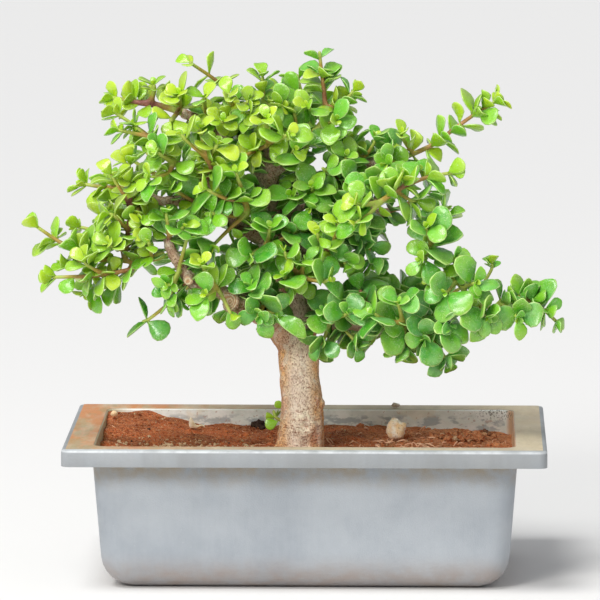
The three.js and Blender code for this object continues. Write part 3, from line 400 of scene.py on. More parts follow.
# %% [markdown]
# ## The tray
#
# The tray is moulded plastic, 2 mm thick: a tapered box with a rounded foot, a broad flat
# flange and a lip that turns down. It could be two solids cut from each other, but a thin
# shell is quicker to make as one skin. Rounded outlines are drawn at each level, from the
# floor up the inside, out over the flange and down the lip, and each is bridged to the
# next. Solidify then gives the skin its thickness on the far side.

# %% Tray sizes
def in_metres(**sizes):
    return {name: size * MM for name, size in sizes.items()}


RIM = in_metres(x=280, y=190, corner=5, top=85, edge=1.4, lip=9.6)
MOUTH = in_metres(lead=0.8, drop=1, corner=7.8)
FOOT = in_metres(x=235, y=145, round=18, corner=3)
BODY = in_metres(x=247, y=157, height=82, low_corner=12, corner=7)
DRILL = in_metres(radius=5, depth=20)
DRAINS = [(x * MM, y * MM) for x in (-70, 70) for y in (-34, 34)]
WALL = 2 * MM
EDGE_ROUND = 0.45 * MM
FOOT_TURNS = range(0, 91, 15)
EDGE_TURNS = range(0, 91, 30)
CORNER_STEPS = 7
SAME_LEVEL = 0.004 * MM


def body_at(z, inset):
    """How wide and deep the tapered body is at a height, set in from its outer face."""
    share = z / BODY["height"]
    return [FOOT[k] + (BODY[k] - FOOT[k]) * share - 2 * inset for k in ("x", "y")]


def tray_outlines():
    """Width, depth, corner and height of each outline, from the floor to the lip's edge."""
    rows = []
    for turn in FOOT_TURNS:
        out, up = math.sin(math.radians(turn)), 1 - math.cos(math.radians(turn))
        z = WALL + (FOOT["round"] - WALL) * up
        inset = WALL + (FOOT["round"] - WALL) * (1 - out)
        corner = FOOT["corner"] + (BODY["low_corner"] - FOOT["corner"]) * out
        rows.append((*body_at(z, inset), corner, z))
    z = RIM["top"] - MOUTH["drop"]
    rows.append((*body_at(z, WALL), BODY["corner"], z))
    rows.append((*body_at(z, WALL - MOUTH["lead"]), MOUTH["corner"], RIM["top"]))
    for turn in EDGE_TURNS:
        inset = RIM["edge"] * (1 - math.sin(math.radians(turn)))
        z = RIM["top"] - 5 * SAME_LEVEL - RIM["edge"] * (1 - math.cos(math.radians(turn)))
        rows.append((RIM["x"] - 2 * inset, RIM["y"] - 2 * inset, RIM["corner"] - inset, z))
    rows.append((RIM["x"], RIM["y"], RIM["corner"], RIM["top"] - RIM["lip"]))
    return rows


def rounded_plate(name, x, y, corner, z):
    plate = start(bpy.ops.mesh.primitive_plane_add, name, size=1, location=(0, 0, z))
    open_mesh(plate)
    bpy.ops.transform.resize(value=(x, y, 1), center_override=(0, 0, z))
    pick("VERT", lambda v: True)
    bpy.ops.mesh.bevel(offset=corner, segments=CORNER_STEPS, affect="VERTICES")
    close_mesh()
    return plate


# %% Bridge the outlines into one skin
outlines = tray_outlines()
plates = [rounded_plate("tray_shell", *row) for row in outlines]
tray = join(*plates)
open_mesh(tray)
floor_level = outlines[0][3]
pick("FACE", lambda f: f.calc_center_median().z > floor_level + SAME_LEVEL)
bpy.ops.mesh.delete(type="ONLY_FACE")
for lower, upper in zip(outlines, outlines[1:]):
    levels = (lower[3], upper[3])
    pick("EDGE", lambda e: len(e.link_faces) < 2
         and all(min(abs(v.co.z - z) for z in levels) < SAME_LEVEL for v in e.verts))
    bpy.ops.mesh.bridge_edge_loops()
close_with(bpy.ops.mesh.normals_make_consistent, inside=False)
print("skin of the tray:", len(tray.data.polygons), "faces from", len(outlines), "outlines")

# %% Wall, softened edges and drain holes
modify(tray, "SOLIDIFY", thickness=WALL, offset=-1, use_even_offset=True)
modify(tray, "BEVEL", width=EDGE_ROUND, segments=2, limit_method="ANGLE",
       angle_limit=math.radians(50))
drill = join(*[start(bpy.ops.mesh.primitive_cylinder_add, "drill", vertices=32,
                     location=(x, y, 0), **DRILL) for x, y in DRAINS])
modify(tray, "BOOLEAN", operation="DIFFERENCE", object=drill, solver="EXACT")
bpy.data.objects.remove(drill)
smooth(tray, 30)

# %% Which corners are inside the mouth
def faces_inward(v):
    between_walls = abs(v.co.x) < BODY["x"] / 2 and abs(v.co.y) < BODY["y"] / 2
    return between_walls and v.normal.x * v.co.x + v.normal.y * v.co.y < 0


inside = [faces_inward(v) for v in tray.data.vertices]
note(tray, "inside", inside)
print("corners inside the mouth:", sum(inside))


# %% [markdown]
# ### Weathered plastic
#
# Old outdoor plastic goes chalky: the blue-grey fades in clouds, fine streaks run down the
# sides where water ran, and red soil stains the flange, most of all where it was carried
# over the edge. The inner walls are painted near white, a painted light for the sky they
# catch, and carry damp smears, rust and mould. A pale line along the rim's outer top edge is
# a painted highlight. All these are masks built from the height and the place on the tray.

# %% Material of the tray
def make_tray_plastic():
    material, tree, shader = finish("tray_plastic", coat_weight=0.08, coat_roughness=0.35)
    x, y, z = place_on(tree)
    colour = mix_colour(clouds(tree, 60, 5.0), rgb(152, 159, 167), rgb(174, 180, 186))
    scuffs = specks(tree, 0.9, 0.16)
    near_foot = without(soft_step(z, 4 * MM, 24 * MM))
    earthy = calc("MULTIPLY_ADD", clouds(tree, 14, 5.0), 0.4, 0.3)
    lip = soft_step(z, 75.2 * MM, 75.6 * MM)
    splash = times(soft_step(z, 56 * MM, 76 * MM), clouds(tree, 11, 5.0))
    under_lip = calc("MULTIPLY_ADD", lip, -0.75, 0.85)
    dust = calc("MULTIPLY_ADD", clouds(tree, 30, 4.0, 0.2), 0.4, 0.4)
    colour = paint(
        colour,
        (clouds(tree, 2.2, 3.0, 0.05), 0.08, (190, 193, 194)),
        (scuffs, 0.45, (214, 216, 216)),
        (near_foot, earthy, (158, 136, 120)),
        (splash, under_lip, (164, 146, 118)),
        (lip, dust, (136, 138, 138)),
    )

    # Inside the mouth the plastic is painted near white: painted light for the sky that the inner
    # walls catch. Tide, damp smears, rust, stains and mould go over it.
    lit_and_stained_inside = mix_colour(clouds(tree, 9, 5.0), rgb(230, 234, 226), rgb(255, 255, 250))
    wavy = calc("MULTIPLY_ADD", clouds(tree, 9, 5.0), -6 * MM, z)
    tide = soft_step(wavy, 77 * MM, 73.5 * MM)
    damp = soft_step(clouds(tree, 13, 4.0, 2.2), 0.45, 0.8)
    damp = times(damp, soft_step(z, 83 * MM, 79 * MM))
    rust = times(specks(tree, 2.4, 0.34), soft_step(clouds(tree, 16, 2.0), 0.3, 0.7))
    stained = soft_step(clouds(tree, 22, 4.0), 0.55, 0.95)
    on_left = without(soft_step(x, -122 * MM, -104 * MM))
    on_right = soft_step(x, 117 * MM, 120 * MM)
    mould = times(specks(tree, 1.0, 0.5), soft_step(x, 92 * MM, 112 * MM))
    mould = times(mould, soft_step(z, 76 * MM, 82 * MM))
    lit_and_stained_inside = paint(
        lit_and_stained_inside,
        (tide, 0.2, (190, 178, 156)),
        (damp, 0.6, (132, 142, 148)),
        (rust, 0.5, (176, 128, 104)),
        (stained, 0.4, (238, 218, 186)),
        (on_left, 0.8, (176, 160, 108)),
        (on_right, 0.85, (206, 156, 108)),
        (mould, 0.75, (90, 84, 72)),
    )
    # Below the rim, the inside walls take this painted light with its stains.
    inside = times(read(tree, "inside"), calc("LESS_THAN", z, 84.6 * MM))
    colour = mix_colour(inside, colour, lit_and_stained_inside)

    off_middle = calc("ABSOLUTE", x)
    outer_x = soft_step(off_middle, 140 * MM, 142 * MM)
    outer_y = soft_step(calc("ABSOLUTE", y), 88 * MM, 90 * MM)
    outer = times(soft_step(z, 83.4 * MM, 84.2 * MM), calc("MAXIMUM", outer_x, outer_y))
    # A pale line along the outer top edge of the rim, broken up by clouds: a painted highlight.
    edge_highlight = calc("MULTIPLY_ADD", clouds(tree, 12, 4.0, 0.2), 0.5, 0.25)
    colour = paint(colour, (outer, edge_highlight, (222, 226, 228)))
    on_top = times(soft_step(z, 84.5 * MM, 84.97 * MM), soft_step(y, -90 * MM, -86 * MM))
    on_top = times(on_top, calc("LESS_THAN", off_middle, 137.5 * MM))
    dull = mix_colour(clouds(tree, 18, 4.0, 1.0, 0.3), rgb(188, 174, 144), rgb(218, 202, 168))
    colour = mix_colour(times(on_top, 0.9), colour, dull)
    to_left = without(soft_step(x, -134 * MM, 10 * MM))
    stain = calc("ADD", clouds(tree, 15, 4.0, 1.0, 0.25), 0.15)
    stain = times(calc("MULTIPLY_ADD", to_left, 1.2, 0.06), stain)
    moss = times(soft_step(clouds(tree, 14, 3.0, 1.0, 0.3), 0.5, 0.9), to_left)
    colour = paint(
        colour,
        (stain, on_top, (204, 136, 82)),
        (times(moss, on_top), 0.5, (158, 150, 110)),
        (times(specks(tree, 2.2, 0.3), on_top), 0.35, (140, 98, 64)),
    )
    feed(shader, base_color=colour)
    roughen(shader, clouds(tree, 18), 0.42, 0.66)
    grain = calc("ADD", clouds(tree, 0.8, 2.0), times(scuffs, 0.6))
    relief(shader, grain, 0.05 * MM)
    return material


hand_over(tray, make_tray_plastic(), ["tray"])

# %% [markdown]
# ## The soil
#
# Red garden soil, heaped against the left end and a little lower on the right. A fine grid
# takes the outline of the tray's inside row by row, and its height from the same formula
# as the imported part, with clods and crumbs on top. Its edge is then drawn down the walls.

# %% Soil surface
SOIL = {"level": 76, "dip": 4.5, "lumps": 0.8, "side": 120, "back": 75}
HEAP = {"height": 8, "from": 58, "full": 104}
SOIL_GRID = (200, 124)
CLOSE = 0.05 * MM                # between soil and wall
WALL_LEVELS = (60, 40, 20)       # rings of the soil's sides, in millimetres
SLACK = 0.985
LAST_DROP = -16 * MM
FLOOR_SHARE = (0.86, 0.78, 1)


def soil_height(x, y):
    """The height of the soil in millimetres at a place in millimetres."""
    left = clamp((-x - HEAP["from"]) / (HEAP["full"] - HEAP["from"]))
    left = left * left * (3 - 2 * left)
    right = max(0, x / SOIL["side"])
    back = clamp((y / SOIL["back"] + 1) / 2) ** 1.5
    lumps = math.sin(x * 0.13 + 1.3) * math.cos(y * 0.15) + 0.7 * math.sin(x * 0.27 - y * 0.21)
    heap = SOIL["level"] + HEAP["height"] * left * back
    return heap - SOIL["dip"] * right ** 2 + SOIL["lumps"] * lumps


def crumb_height(x, y):
    """Clods and crumbs on top of that, in millimetres."""
    place = Vector((x, y, 0))
    clods = noise.noise(place / 7) + 0.5 * noise.noise(place / 3.1 + Vector((5, 0, 0)))
    crumbs = noise.noise(place / 1.7 + Vector((0, 9, 0)))
    return 0.5 * clods + 0.35 * crumbs - 0.8


def inside_at(z):
    return [size / 2 for size in body_at(z, WALL + CLOSE)]


soil = start(bpy.ops.mesh.primitive_grid_add, "soil_bed", size=1,
             x_subdivisions=SOIL_GRID[0], y_subdivisions=SOIL_GRID[1])
for vertex in soil.data.vertices:
    u, v = vertex.co.x * 2, vertex.co.y * 2
    half_x, half_y = inside_at(SOIL["level"] * MM)
    corner = BODY["corner"]
    past = max(0, abs(v) * half_y - (half_y - corner))
    row = half_x - corner + math.sqrt(max(0, corner ** 2 - past ** 2))
    x, y = u * row, v * half_y
    height = soil_height(x / MM, y / MM)
    wider = inside_at(height * MM)[0] / half_x
    vertex.co = (x * wider, y * wider, (height + crumb_height(x / MM, y / MM)) * MM)

# %% Soil body
open_mesh(soil)
pick("EDGE", lambda e: e.is_boundary)
for level in WALL_LEVELS:
    bpy.ops.mesh.extrude_region_move(TRANSFORM_OT_translate={"value": (0, 0, 0)})
    picked = [v for v in bmesh.from_edit_mesh(soil.data).verts if v.select]
    share = SLACK * inside_at(level * MM)[0] / max(abs(v.co.x) for v in picked)
    for vertex in picked:
        vertex.co = (vertex.co.x * share, vertex.co.y * share, level * MM)
bpy.ops.mesh.extrude_region_move(TRANSFORM_OT_translate={"value": (0, 0, LAST_DROP)})
bpy.ops.transform.resize(value=FLOOR_SHARE, center_override=(0, 0, 0))
bpy.ops.mesh.edge_face_add()
close_with(bpy.ops.mesh.normals_make_consistent, inside=False)
smooth(soil, 60)


# %% [markdown]
# ### The colour of soil
#
# Damp red-brown, with dark specks for the hollows between crumbs that are partly damp soil
# and partly painted shade, and paler, dusty crumbs on top. The crumb scale is what makes it
# read as soil, so the bump is strong and fine.

# %% Materials of the soil
def make_earth(name, dark, middle, pale, pale_share):
    material, tree, shader = finish(name, specular_ior_level=0.2)
    colour = mix_colour(clouds(tree, 26, 5.0), rgb(*dark), rgb(*middle))
    rusty = soft_step(place_on(tree)[0], 10 * MM, 80 * MM)
    grit = specks(tree, 0.7, pale_share)
    colour = paint(
        colour,
        (clouds(tree, 2.4, 5.0), 0.5, pale),
        (times(rusty, clouds(tree, 9, 4.0)), 0.8, (240, 166, 116)),
        # Dark specks for the hollows between crumbs: partly damp soil, partly painted shade.
        (specks(tree, 1.6, 0.46), 0.65, dark),
        (grit, 0.8, (222, 190, 150)),
    )
    feed(shader, base_color=colour)
    roughen(shader, grit, 0.95, 0.7)
    crumbs = calc("ADD", clouds(tree, 1.3, 5.0), times(clouds(tree, 4), 0.8))
    relief(shader, crumbs, 0.7 * MM)
    return material


EARTH = make_earth("soil_earth", (112, 46, 22), (208, 104, 58), (240, 158, 100), 0.4)
GRIT = make_earth("pale_grit", (200, 158, 112), (236, 204, 158), (250, 230, 196), 0.2)
DARK_LITTER = make_earth("dark_litter", (46, 34, 30), (82, 60, 52), (120, 92, 76), 0.1)
hand_over(soil, EARTH, ["soil"])

# %% [markdown]
# ### Crumbs, grit and root hairs
#
# A smooth skin never quite looks like loose soil. A crumb is modelled once from a ball,
# its corners pushed in and out, and copied over the bed. The copies of one kind are joined,
# so the bed has a few pieces, not a few thousand.

# %% Crumbs and clods
BED = {"half_x": 121, "half_y": 76, "corner_x": 112, "corner_y": 67, "corner": 6}
BED_EDGE = 1.5 * MM


def model_crumb(seed, detail):
    crumb = start(bpy.ops.mesh.primitive_ico_sphere_add, "crumb", subdivisions=detail, radius=1)
    open_mesh(crumb)
    bpy.ops.transform.vertex_random(offset=0.34, seed=seed, normal=0.6)
    bpy.ops.transform.resize(value=(1, 0.8, 0.66), center_override=(0, 0, 0))
    close_mesh()
    return crumb


def on_the_bed(x, y):
    half_x, half_y = inside_at(SOIL["level"] * MM)
    if abs(x) * MM > half_x - BED_EDGE or abs(y) * MM > half_y - BED_EDGE:
        return False
    past = max(0, abs(x) - BED["corner_x"]), max(0, abs(y) - BED["corner_y"])
    return math.hypot(*past) <= BED["corner"]


def scatter(name, models, count, seed, sizes, lift, where):
    """Copies the models over the bed, each copy with its own size, turn and mesh."""
    rng = random.Random(seed)
    copies = []
    while len(copies) < count:
        x, y = where(rng)
        if not on_the_bed(x, y):
            continue
        size = rng.uniform(*sizes) * (0.6 + 0.8 * rng.random() ** 3)
        z = soil_height(x, y) + crumb_height(x, y) + size * lift
        copy = models[rng.randrange(len(models))].copy()
        copy.data = copy.data.copy()
        turn = Matrix.Rotation(rng.uniform(*ANY_TURN), 4, "Z")
        turn = turn @ Matrix.Rotation(rng.uniform(-1, 1), 4, "X")
        move = Matrix.Translation(Vector((x, y, z)) * MM)
        copy.data.transform(move @ turn @ Matrix.Scale(size * MM, 4))
        bpy.context.collection.objects.link(copy)
        copies.append(copy)
    joined = join(*copies)
    joined.name = joined.data.name = name
    return joined


def anywhere(rng):
    x = rng.uniform(-BED["half_x"], BED["half_x"])
    return x, rng.uniform(-BED["half_y"], BED["half_y"])


def left_front(rng):
    return min(rng.gauss(-70, 32), 118), rng.gauss(-44, 26)


def off_the_heap(rng):
    """Clods lie anywhere but on the smooth heap at the back left."""
    x, y = anywhere(rng)
    return (x, y) if x > -50 or y < -30 else (x + 60, y)


def clod_pile(rng):
    return rng.gauss(92, 7), rng.gauss(34, 6)


def dark_spots(rng):
    """Dark clods lie behind the trunk and in the back right corner."""
    x, y, spread = rng.choice([(-30, 63, 1.6), (103, 66, 7)])
    return rng.gauss(x, spread), rng.gauss(y, 2.5)


crumb_models = [model_crumb(seed, 1) for seed in (3, 8, 21)]
clod_models = [model_crumb(seed, 2) for seed in (5, 13)]
crumbs = scatter("soil_crumbs", crumb_models, 2600, 11, (0.5, 1.2), 0.1, anywhere)
clods = scatter("soil_clods", clod_models, 120, 12, (1.2, 2.6), 0.05, off_the_heap)
pile = scatter("soil_pile", clod_models, 60, 17, (1.6, 3.0), 0.9, clod_pile)
pale_pile = scatter("pale_pile", clod_models, 18, 18, (0.9, 1.7), 1.8, clod_pile)
grit = scatter("pale_grit", crumb_models, 620, 13, (0.6, 1.4), 0.4, left_front)
grit_all = scatter("pale_grit_spread", crumb_models, 200, 15, (0.4, 0.8), 0.4, anywhere)
litter = scatter("dark_litter", crumb_models, 16, 14, (0.6, 1.1), 0.3, anywhere)
litter_pile = scatter("dark_litter_pile", clod_models, 15, 19, (2.0, 3.0), 0.6, dark_spots)
for kind in ((clods, pile), (grit, grit_all, pale_pile), (litter, litter_pile)):
    join(*kind)
for model in crumb_models + clod_models:
    bpy.data.objects.remove(model)
smooth(clods, 50)
for piece, material in ((crumbs, EARTH), (clods, EARTH), (grit, GRIT), (litter, DARK_LITTER)):
    hand_over(piece, material)


# %% Root hairs and litter
FIBRE_STEPS = 7
FIBRE_BED = {"start": 115, "squeeze": 0.6, "half_x": 117, "half_y": 72}


def lay_fibres(name, count, seed, where, length, thickness, rise):
    """Lines that wander over the bed, each an arch that is thickest in its middle."""
    rng = random.Random(seed)
    tubes = new_tubes(name, thickness * MM, 1)
    for _ in range(count):
        x, y = (clamp(value, -FIBRE_BED["start"], FIBRE_BED["start"]) for value in where(rng))
        y *= FIBRE_BED["squeeze"]
        heading, bend = rng.uniform(*ANY_TURN), rng.uniform(-0.9, 0.9)
        stride = rng.uniform(*length) / FIBRE_STEPS
        spline = tubes.splines.new("POLY")
        spline.points.add(FIBRE_STEPS)
        arch = rng.random() * rise
        for step, point in enumerate(spline.points):
            z = soil_height(x, y) + crumb_height(x, y) + thickness
            z += arch * math.sin(math.pi * step / FIBRE_STEPS)
            point.co = (x * MM, y * MM, z * MM, 1)
            point.radius = 1 - 0.5 * abs(2 * step / FIBRE_STEPS - 1)
            heading += bend * rng.uniform(0.2, 1.2)
            x = clamp(x + stride * math.cos(heading), -FIBRE_BED["half_x"], FIBRE_BED["half_x"])
            y = clamp(y + stride * math.sin(heading), -FIBRE_BED["half_y"], FIBRE_BED["half_y"])
    fibres = mesh_of(tubes, name)
    smooth(fibres, 80)
    return fibres


def make_fibre():
    material, tree, shader = finish("root_fibre", roughness=0.7)
    colour = mix_colour(clouds(tree, 6, 3.0), rgb(214, 146, 106), rgb(252, 208, 170))
    feed(shader, base_color=colour)
    relief(shader, clouds(tree, 0.7, 2.0), 0.1 * MM)
    return material


FIBRE = make_fibre()


def right_half(rng):
    return rng.gauss(56, 22), rng.gauss(-10, 34)


fibres = lay_fibres("root_fibres", 40, 31, anywhere, (4, 9), 0.22, 1.5)
curls = lay_fibres("curled_litter", 60, 32, right_half, (4, 9), 0.5, 2.4)
for piece in (fibres, curls):
    hand_over(piece, FIBRE)

# %% [markdown]
# ## Stones and a dry chip
#
# A pebble lies to the right of the trunk, a small clod on the back rim, a pale stone in the
# back left corner, and a curl of dead leaf on the heap. Each stone is a ball knocked out of
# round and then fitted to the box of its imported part, which gives its place and size.

# %% Stones
STONE_DETAIL = 4


def fit_to_node(thing, name):
    """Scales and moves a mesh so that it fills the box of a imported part."""
    low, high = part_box(name)
    points = np.array([v.co for v in thing.data.vertices])
    span = points.max(0) - points.min(0)
    fitted = (points - (points.max(0) + points.min(0)) / 2) / span * np.array(high - low)
    fitted += np.array(low + high) / 2
    thing.data.vertices.foreach_set("co", fitted.ravel())
    thing.data.update()


def make_stone(name, node_name, seed, lump, grain):
    """A ball knocked out of round: broad lumps, smaller ones, and a grain."""
    stone = start(bpy.ops.mesh.primitive_ico_sphere_add, name,
                  subdivisions=STONE_DETAIL, radius=1)
    offset = Vector((seed, seed * 2, 0))
    for vertex in stone.data.vertices:
        place = vertex.co.normalized()
        lumps = noise.noise(place * 1.1 + offset) * lump
        lumps = lumps + noise.noise(place * 3.2 - offset) * lump / 2
        vertex.co = place * (1 + lumps + noise.noise(place * 9 + offset) * grain)
    fit_to_node(stone, node_name)
    smooth(stone, 60)
    return stone


def make_rock(name, dark, pale, rough):
    material, tree, shader = finish(name, specular_ior_level=0.3, roughness=rough)
    colour = mix_colour(clouds(tree, 4.5, 5.0), rgb(*dark), rgb(*pale))
    soiled = without(soft_step(place_on(tree)[2], 74 * MM, 79 * MM))
    colour = paint(
        colour,
        (specks(tree, 0.9, 0.36), 0.5, (150, 106, 70)),
        (soiled, 0.6, (160, 96, 60)),
    )
    feed(shader, base_color=colour)
    relief(shader, clouds(tree, 1.1, 4.0), 0.25 * MM)
    return material


STONES = [
    ("beige_pebble", "pebble", (4, 0.3, 0.05),
     ("beige_pebble", (242, 204, 152), (255, 246, 228), 0.75)),
    ("clod_on_rim", "rim_clod", (9, 0.35, 0.1),
     ("grey_clod", (206, 188, 168), (242, 230, 214), 0.9)),
    ("pale_corner_stone", "corner_stone", (17, 0.2, 0.04),
     ("pale_stone", (228, 182, 132), (250, 222, 180), 0.6)),
]
for name, node_name, form, look in STONES:
    hand_over(make_stone(name, node_name, *form), make_rock(*look), [node_name])

# %% The dry chip: a plate, rolled into a curl and given a thickness
chip = start(bpy.ops.mesh.primitive_grid_add, "dry_curl", size=1,
             x_subdivisions=18, y_subdivisions=12)
for vertex in chip.data.vertices:
    u, v = vertex.co.x * 2, vertex.co.y * 2
    tall = 1 / (1 + math.exp(4.5 * (u + 0.15)))
    roll = v * (1.1 + 0.5 * tall) + 0.2 * u
    wide = math.sqrt(max(0.04, 1 - abs(u) ** 3))
    wide = wide * (0.4 + 0.6 * tall) * (1 + 0.1 * math.sin(6 * u))
    vertex.co = (u * 1.2 - 0.35 * tall * abs(v), math.sin(roll) * wide,
                 1.5 * tall * (1 - math.cos(roll)) * wide + 0.3 * (1 - tall) * math.sin(3 * u))
modify(chip, "SOLIDIFY", thickness=0.12, offset=0)
modify(chip, "SUBSURF", levels=1, render_levels=1)
fit_to_node(chip, "dry_chip")
smooth(chip, 60)
look = make_rock("dry_leaf_curl", (226, 210, 166), (255, 248, 222), 0.7)
hand_over(chip, look, ["dry_chip"])

# %% [markdown]
# ## The wood
#
# Trunk and limbs are one grown piece. Drawn as tubes they would meet in hard creases, so
# each limb is drawn as a curve with its own girth, and the tubes are then remeshed into
# one skin and relaxed, which rounds the crotches as growing wood does. The bark's lumps,
# wrinkles and knots are pushed into that skin, because they show against the light.

# %% The limbs: rows of x, y, z and radius in millimetres
LIMBS = {
    "trunk": [
        (-4, -22, 42, 12.5), (-4, -22, 62, 14.2), (-4, -22, 77, 14.3), (-3, -22, 90, 13.2),
        (-3, -21, 104, 12.2), (-4, -20, 119, 11.9), (-5, -19, 132, 12), (-5, -17, 143, 10.6),
        (-5, -15, 156, 9.6), (-8, -13, 171, 9), (-14, -10, 188, 8.4), (-20, -8, 206, 7.4),
        (-23, -8, 225, 6.4), (-22, -10, 241, 5.2), (-22, -12, 252, 4.4),
    ],
    "left_low": [
        (-8, -19, 136, 9), (-18, -24, 150, 8.2), (-29, -34, 159, 7.2), (-38, -42, 163, 6.6),
        (-44, -49, 166, 6.3),
    ],
    "left_mid": [
        (-35, -40, 163, 4.8), (-49, -46, 171, 4.3), (-60, -50, 174, 4), (-67, -52, 179, 3.8),
        (-73, -52, 188, 3.5), (-78, -51, 196, 3.3), (-80, -50, 204, 3),
    ],
    "left_up": [
        (-15, -11, 187, 6), (-26, -16, 199, 5.4), (-37, -22, 206, 5), (-47, -28, 215, 4.4),
        (-62, -32, 222, 3.8), (-76, -34, 223, 3.3), (-86, -32, 223, 2.8), (-95, -28, 228, 2.3),
    ],
    "left_stub": [
        (-46, -27, 214, 3.8), (-54, -33, 228, 3.3), (-62, -36, 239, 3.2), (-69, -38, 241, 3.2),
        (-74, -43, 245, 3.1),
    ],
    "left_top": [
        (-23, -9, 230, 4.6), (-35, -4, 244, 4), (-48, 0, 255, 3.6), (-61, 2, 265, 3.3),
        (-74, 3, 271, 3.1),
    ],
    "top_left": [(-40, -2, 248, 3), (-39, 3, 262, 2.5), (-46, 5, 280, 2)],
    "top_mid": [(-22, -12, 249, 3.6), (-23, -13, 261, 2.8), (-25, -13, 272, 2.3)],
    "top_right": [
        (-21, -9, 237, 4.6), (-11, -8, 245, 4), (-3, -6, 255, 3.7), (3, -5, 260, 3.5),
    ],
    "right_up": [
        (-19, -8, 202, 5.4), (-6, -4, 217, 4.7), (12, -2, 229, 4), (32, -1, 240, 3.4),
        (46, -1, 244, 2.9), (57, 0, 246, 2.4),
    ],
    "right_mid": [
        (-12, -11, 184, 6.2), (-1, -16, 195, 5.5), (12, -22, 200, 4.9), (25, -30, 210, 4.2),
        (37, -37, 221, 3.7), (41, -47, 223, 3.3),
    ],
    "right_low": [
        (-2, -17, 148, 6.8), (11, -24, 151, 5.8), (25, -30, 152, 5.1), (42, -34, 149, 4.5),
        (59, -36, 150, 3.8), (77, -38, 155, 3),
    ],
    "back_left": [
        (-21, -6, 212, 5.5), (-34, 12, 219, 4.8), (-50, 24, 226, 4), (-66, 32, 230, 3.2),
        (-80, 36, 229, 2.5),
    ],
    "back_right": [
        (-14, -8, 188, 5.8), (0, 12, 193, 5), (18, 26, 200, 4.2), (34, 35, 206, 3.4),
        (48, 39, 209, 2.6),
    ],
    "back_mid": [
        (-22, -6, 225, 4.8), (-20, 12, 233, 4.2), (-15, 26, 243, 3.4), (-14, 36, 253, 2.6),
    ],
    "back_low": [
        (-6, -14, 144, 6.2), (-14, 4, 152, 5.4), (-27, 20, 160, 4.6), (-43, 32, 167, 3.8),
        (-60, 38, 172, 3),
    ],
    "back_low_right": [
        (7, -20, 150, 4.8), (20, 2, 155, 4.2), (36, 17, 156, 3.6), (55, 27, 156, 2.9),
        (72, 31, 157, 2.3),
    ],
    "back_top": [(-4, -6, 255, 3.2), (-4, 10, 266, 2.7), (-5, 20, 277, 2.2)],
    "front_knob": [(-66, -50, 180, 3.6), (-67, -54, 180, 3.4), (-68, -59, 179, 3.3)],
}
ROOTS = {
    "root_left": [(-13, -26, 84, 2), (-17, -30, 79, 1.5), (-19, -34, 75, 1.2), (-21, -38, 69, 1)],
}
CUT_ENDS = ("left_low", "left_mid", "left_stub", "right_mid", "top_right", "front_knob")
LIMB_STEPS = 10
SKIN_STEP = 0.9 * MM


def walk_limb(rows):
    """Points of the smooth line through the rows: place and radius, in millimetres."""
    points = [Vector(row[:3]) for row in rows]
    points = [2 * points[0] - points[1]] + points + [2 * points[-1] - points[-2]]
    walk = []
    for i in range(len(rows) - 1):
        a, b, c, d = points[i:i + 4]
        for step in range(LIMB_STEPS + (i == len(rows) - 2)):
            t = step / LIMB_STEPS
            place = b + (c - a) * t / 2 + (a - 2.5 * b + 2 * c - d / 2) * t ** 2
            place += (1.5 * (b - c) + (d - a) / 2) * t ** 3
            walk.append((place, rows[i][3] + (rows[i + 1][3] - rows[i][3]) * t))
    return walk


WALKS = {name: walk_limb(rows) for name, rows in {**LIMBS, **ROOTS}.items()}


def draw_limbs():
    """A tube for each limb, all in one mesh."""
    tubes = new_tubes("limbs", MM, 4)
    for walk in WALKS.values():
        line = tubes.splines.new("POLY")
        line.points.add(len(walk) - 1)
        for point, (place, radius) in zip(line.points, walk):
            point.co = (*place * MM, 1)
            point.radius = radius
    return mesh_of(tubes, "jade_wood")


wood = draw_limbs()
modify(wood, "REMESH", mode="VOXEL", voxel_size=SKIN_STEP, adaptivity=0)
modify(wood, "SMOOTH", factor=0.5, iterations=5)
print("one skin of wood:", len(wood.data.vertices), "corners")

# %% [markdown]
# ### Bark in relief
#
# Each corner of the skin is told which limb it is on: how thick the limb is there, how
# far along it is, and whether it is at a sawn end. Old bark on the trunk is lumpy with a
# few knots; young limbs are ringed where each pair of leaves once stood.

# %% What each corner belongs to
# Each knot: its place, its size and its height in millimetres. The first is the largest.
KNOTS = [
    (-1, -35, 91, 6.5, 1.2), (-13, -30, 118, 5, 0.7), (6, -28, 128, 4.5, 0.6),
    (11, -24, 103, 3.4, 1.5), (3, -12, 112, 6, 1.1), (-12, -14, 98, 5, 0.9),
]
RADIUS, WAY, END, HEADING, AGE = 3, 4, 5, slice(6, 9), 9
AT_ONCE = 4000
SAW_DEPTH = 0.6


def measure_bark(points):
    """Girth, way along the limb, share of a sawn end, and distance from the limb's line."""
    rows = []
    for name, walk in WALKS.items():
        way = 0
        for i, (place, radius) in enumerate(walk):
            age = LIMBS["trunk"][0][3] if name in ROOTS else radius
            if i:
                way += (place - walk[i - 1][0]).length
            end = i == len(walk) - 1 and name in CUT_ENDS
            heading = (walk[-1][0] - walk[-2][0]).normalized()
            rows.append((*place, radius, way, float(end), *heading, age))
    rows = np.array(rows)
    out = []
    for first in range(0, len(points), AT_ONCE):
        part = points[first:first + AT_ONCE]
        gap = np.linalg.norm(part[:, None, :] - rows[None, :, :3], axis=2) - rows[None, :, RADIUS]
        best = rows[gap.argmin(1)]
        offset = part - best[:, :3]
        ahead = (offset * best[:, HEADING]).sum(1)
        across = np.sqrt(np.maximum((offset ** 2).sum(1) - ahead ** 2, 0))
        way = best[:, WAY] + ahead * (1 - best[:, END])
        cut = best[:, END] * np.clip((ahead + SAW_DEPTH) / SAW_DEPTH, 0, 1)
        out.append(np.column_stack((best[:, AGE], way, cut, across)))
    return np.concatenate(out)


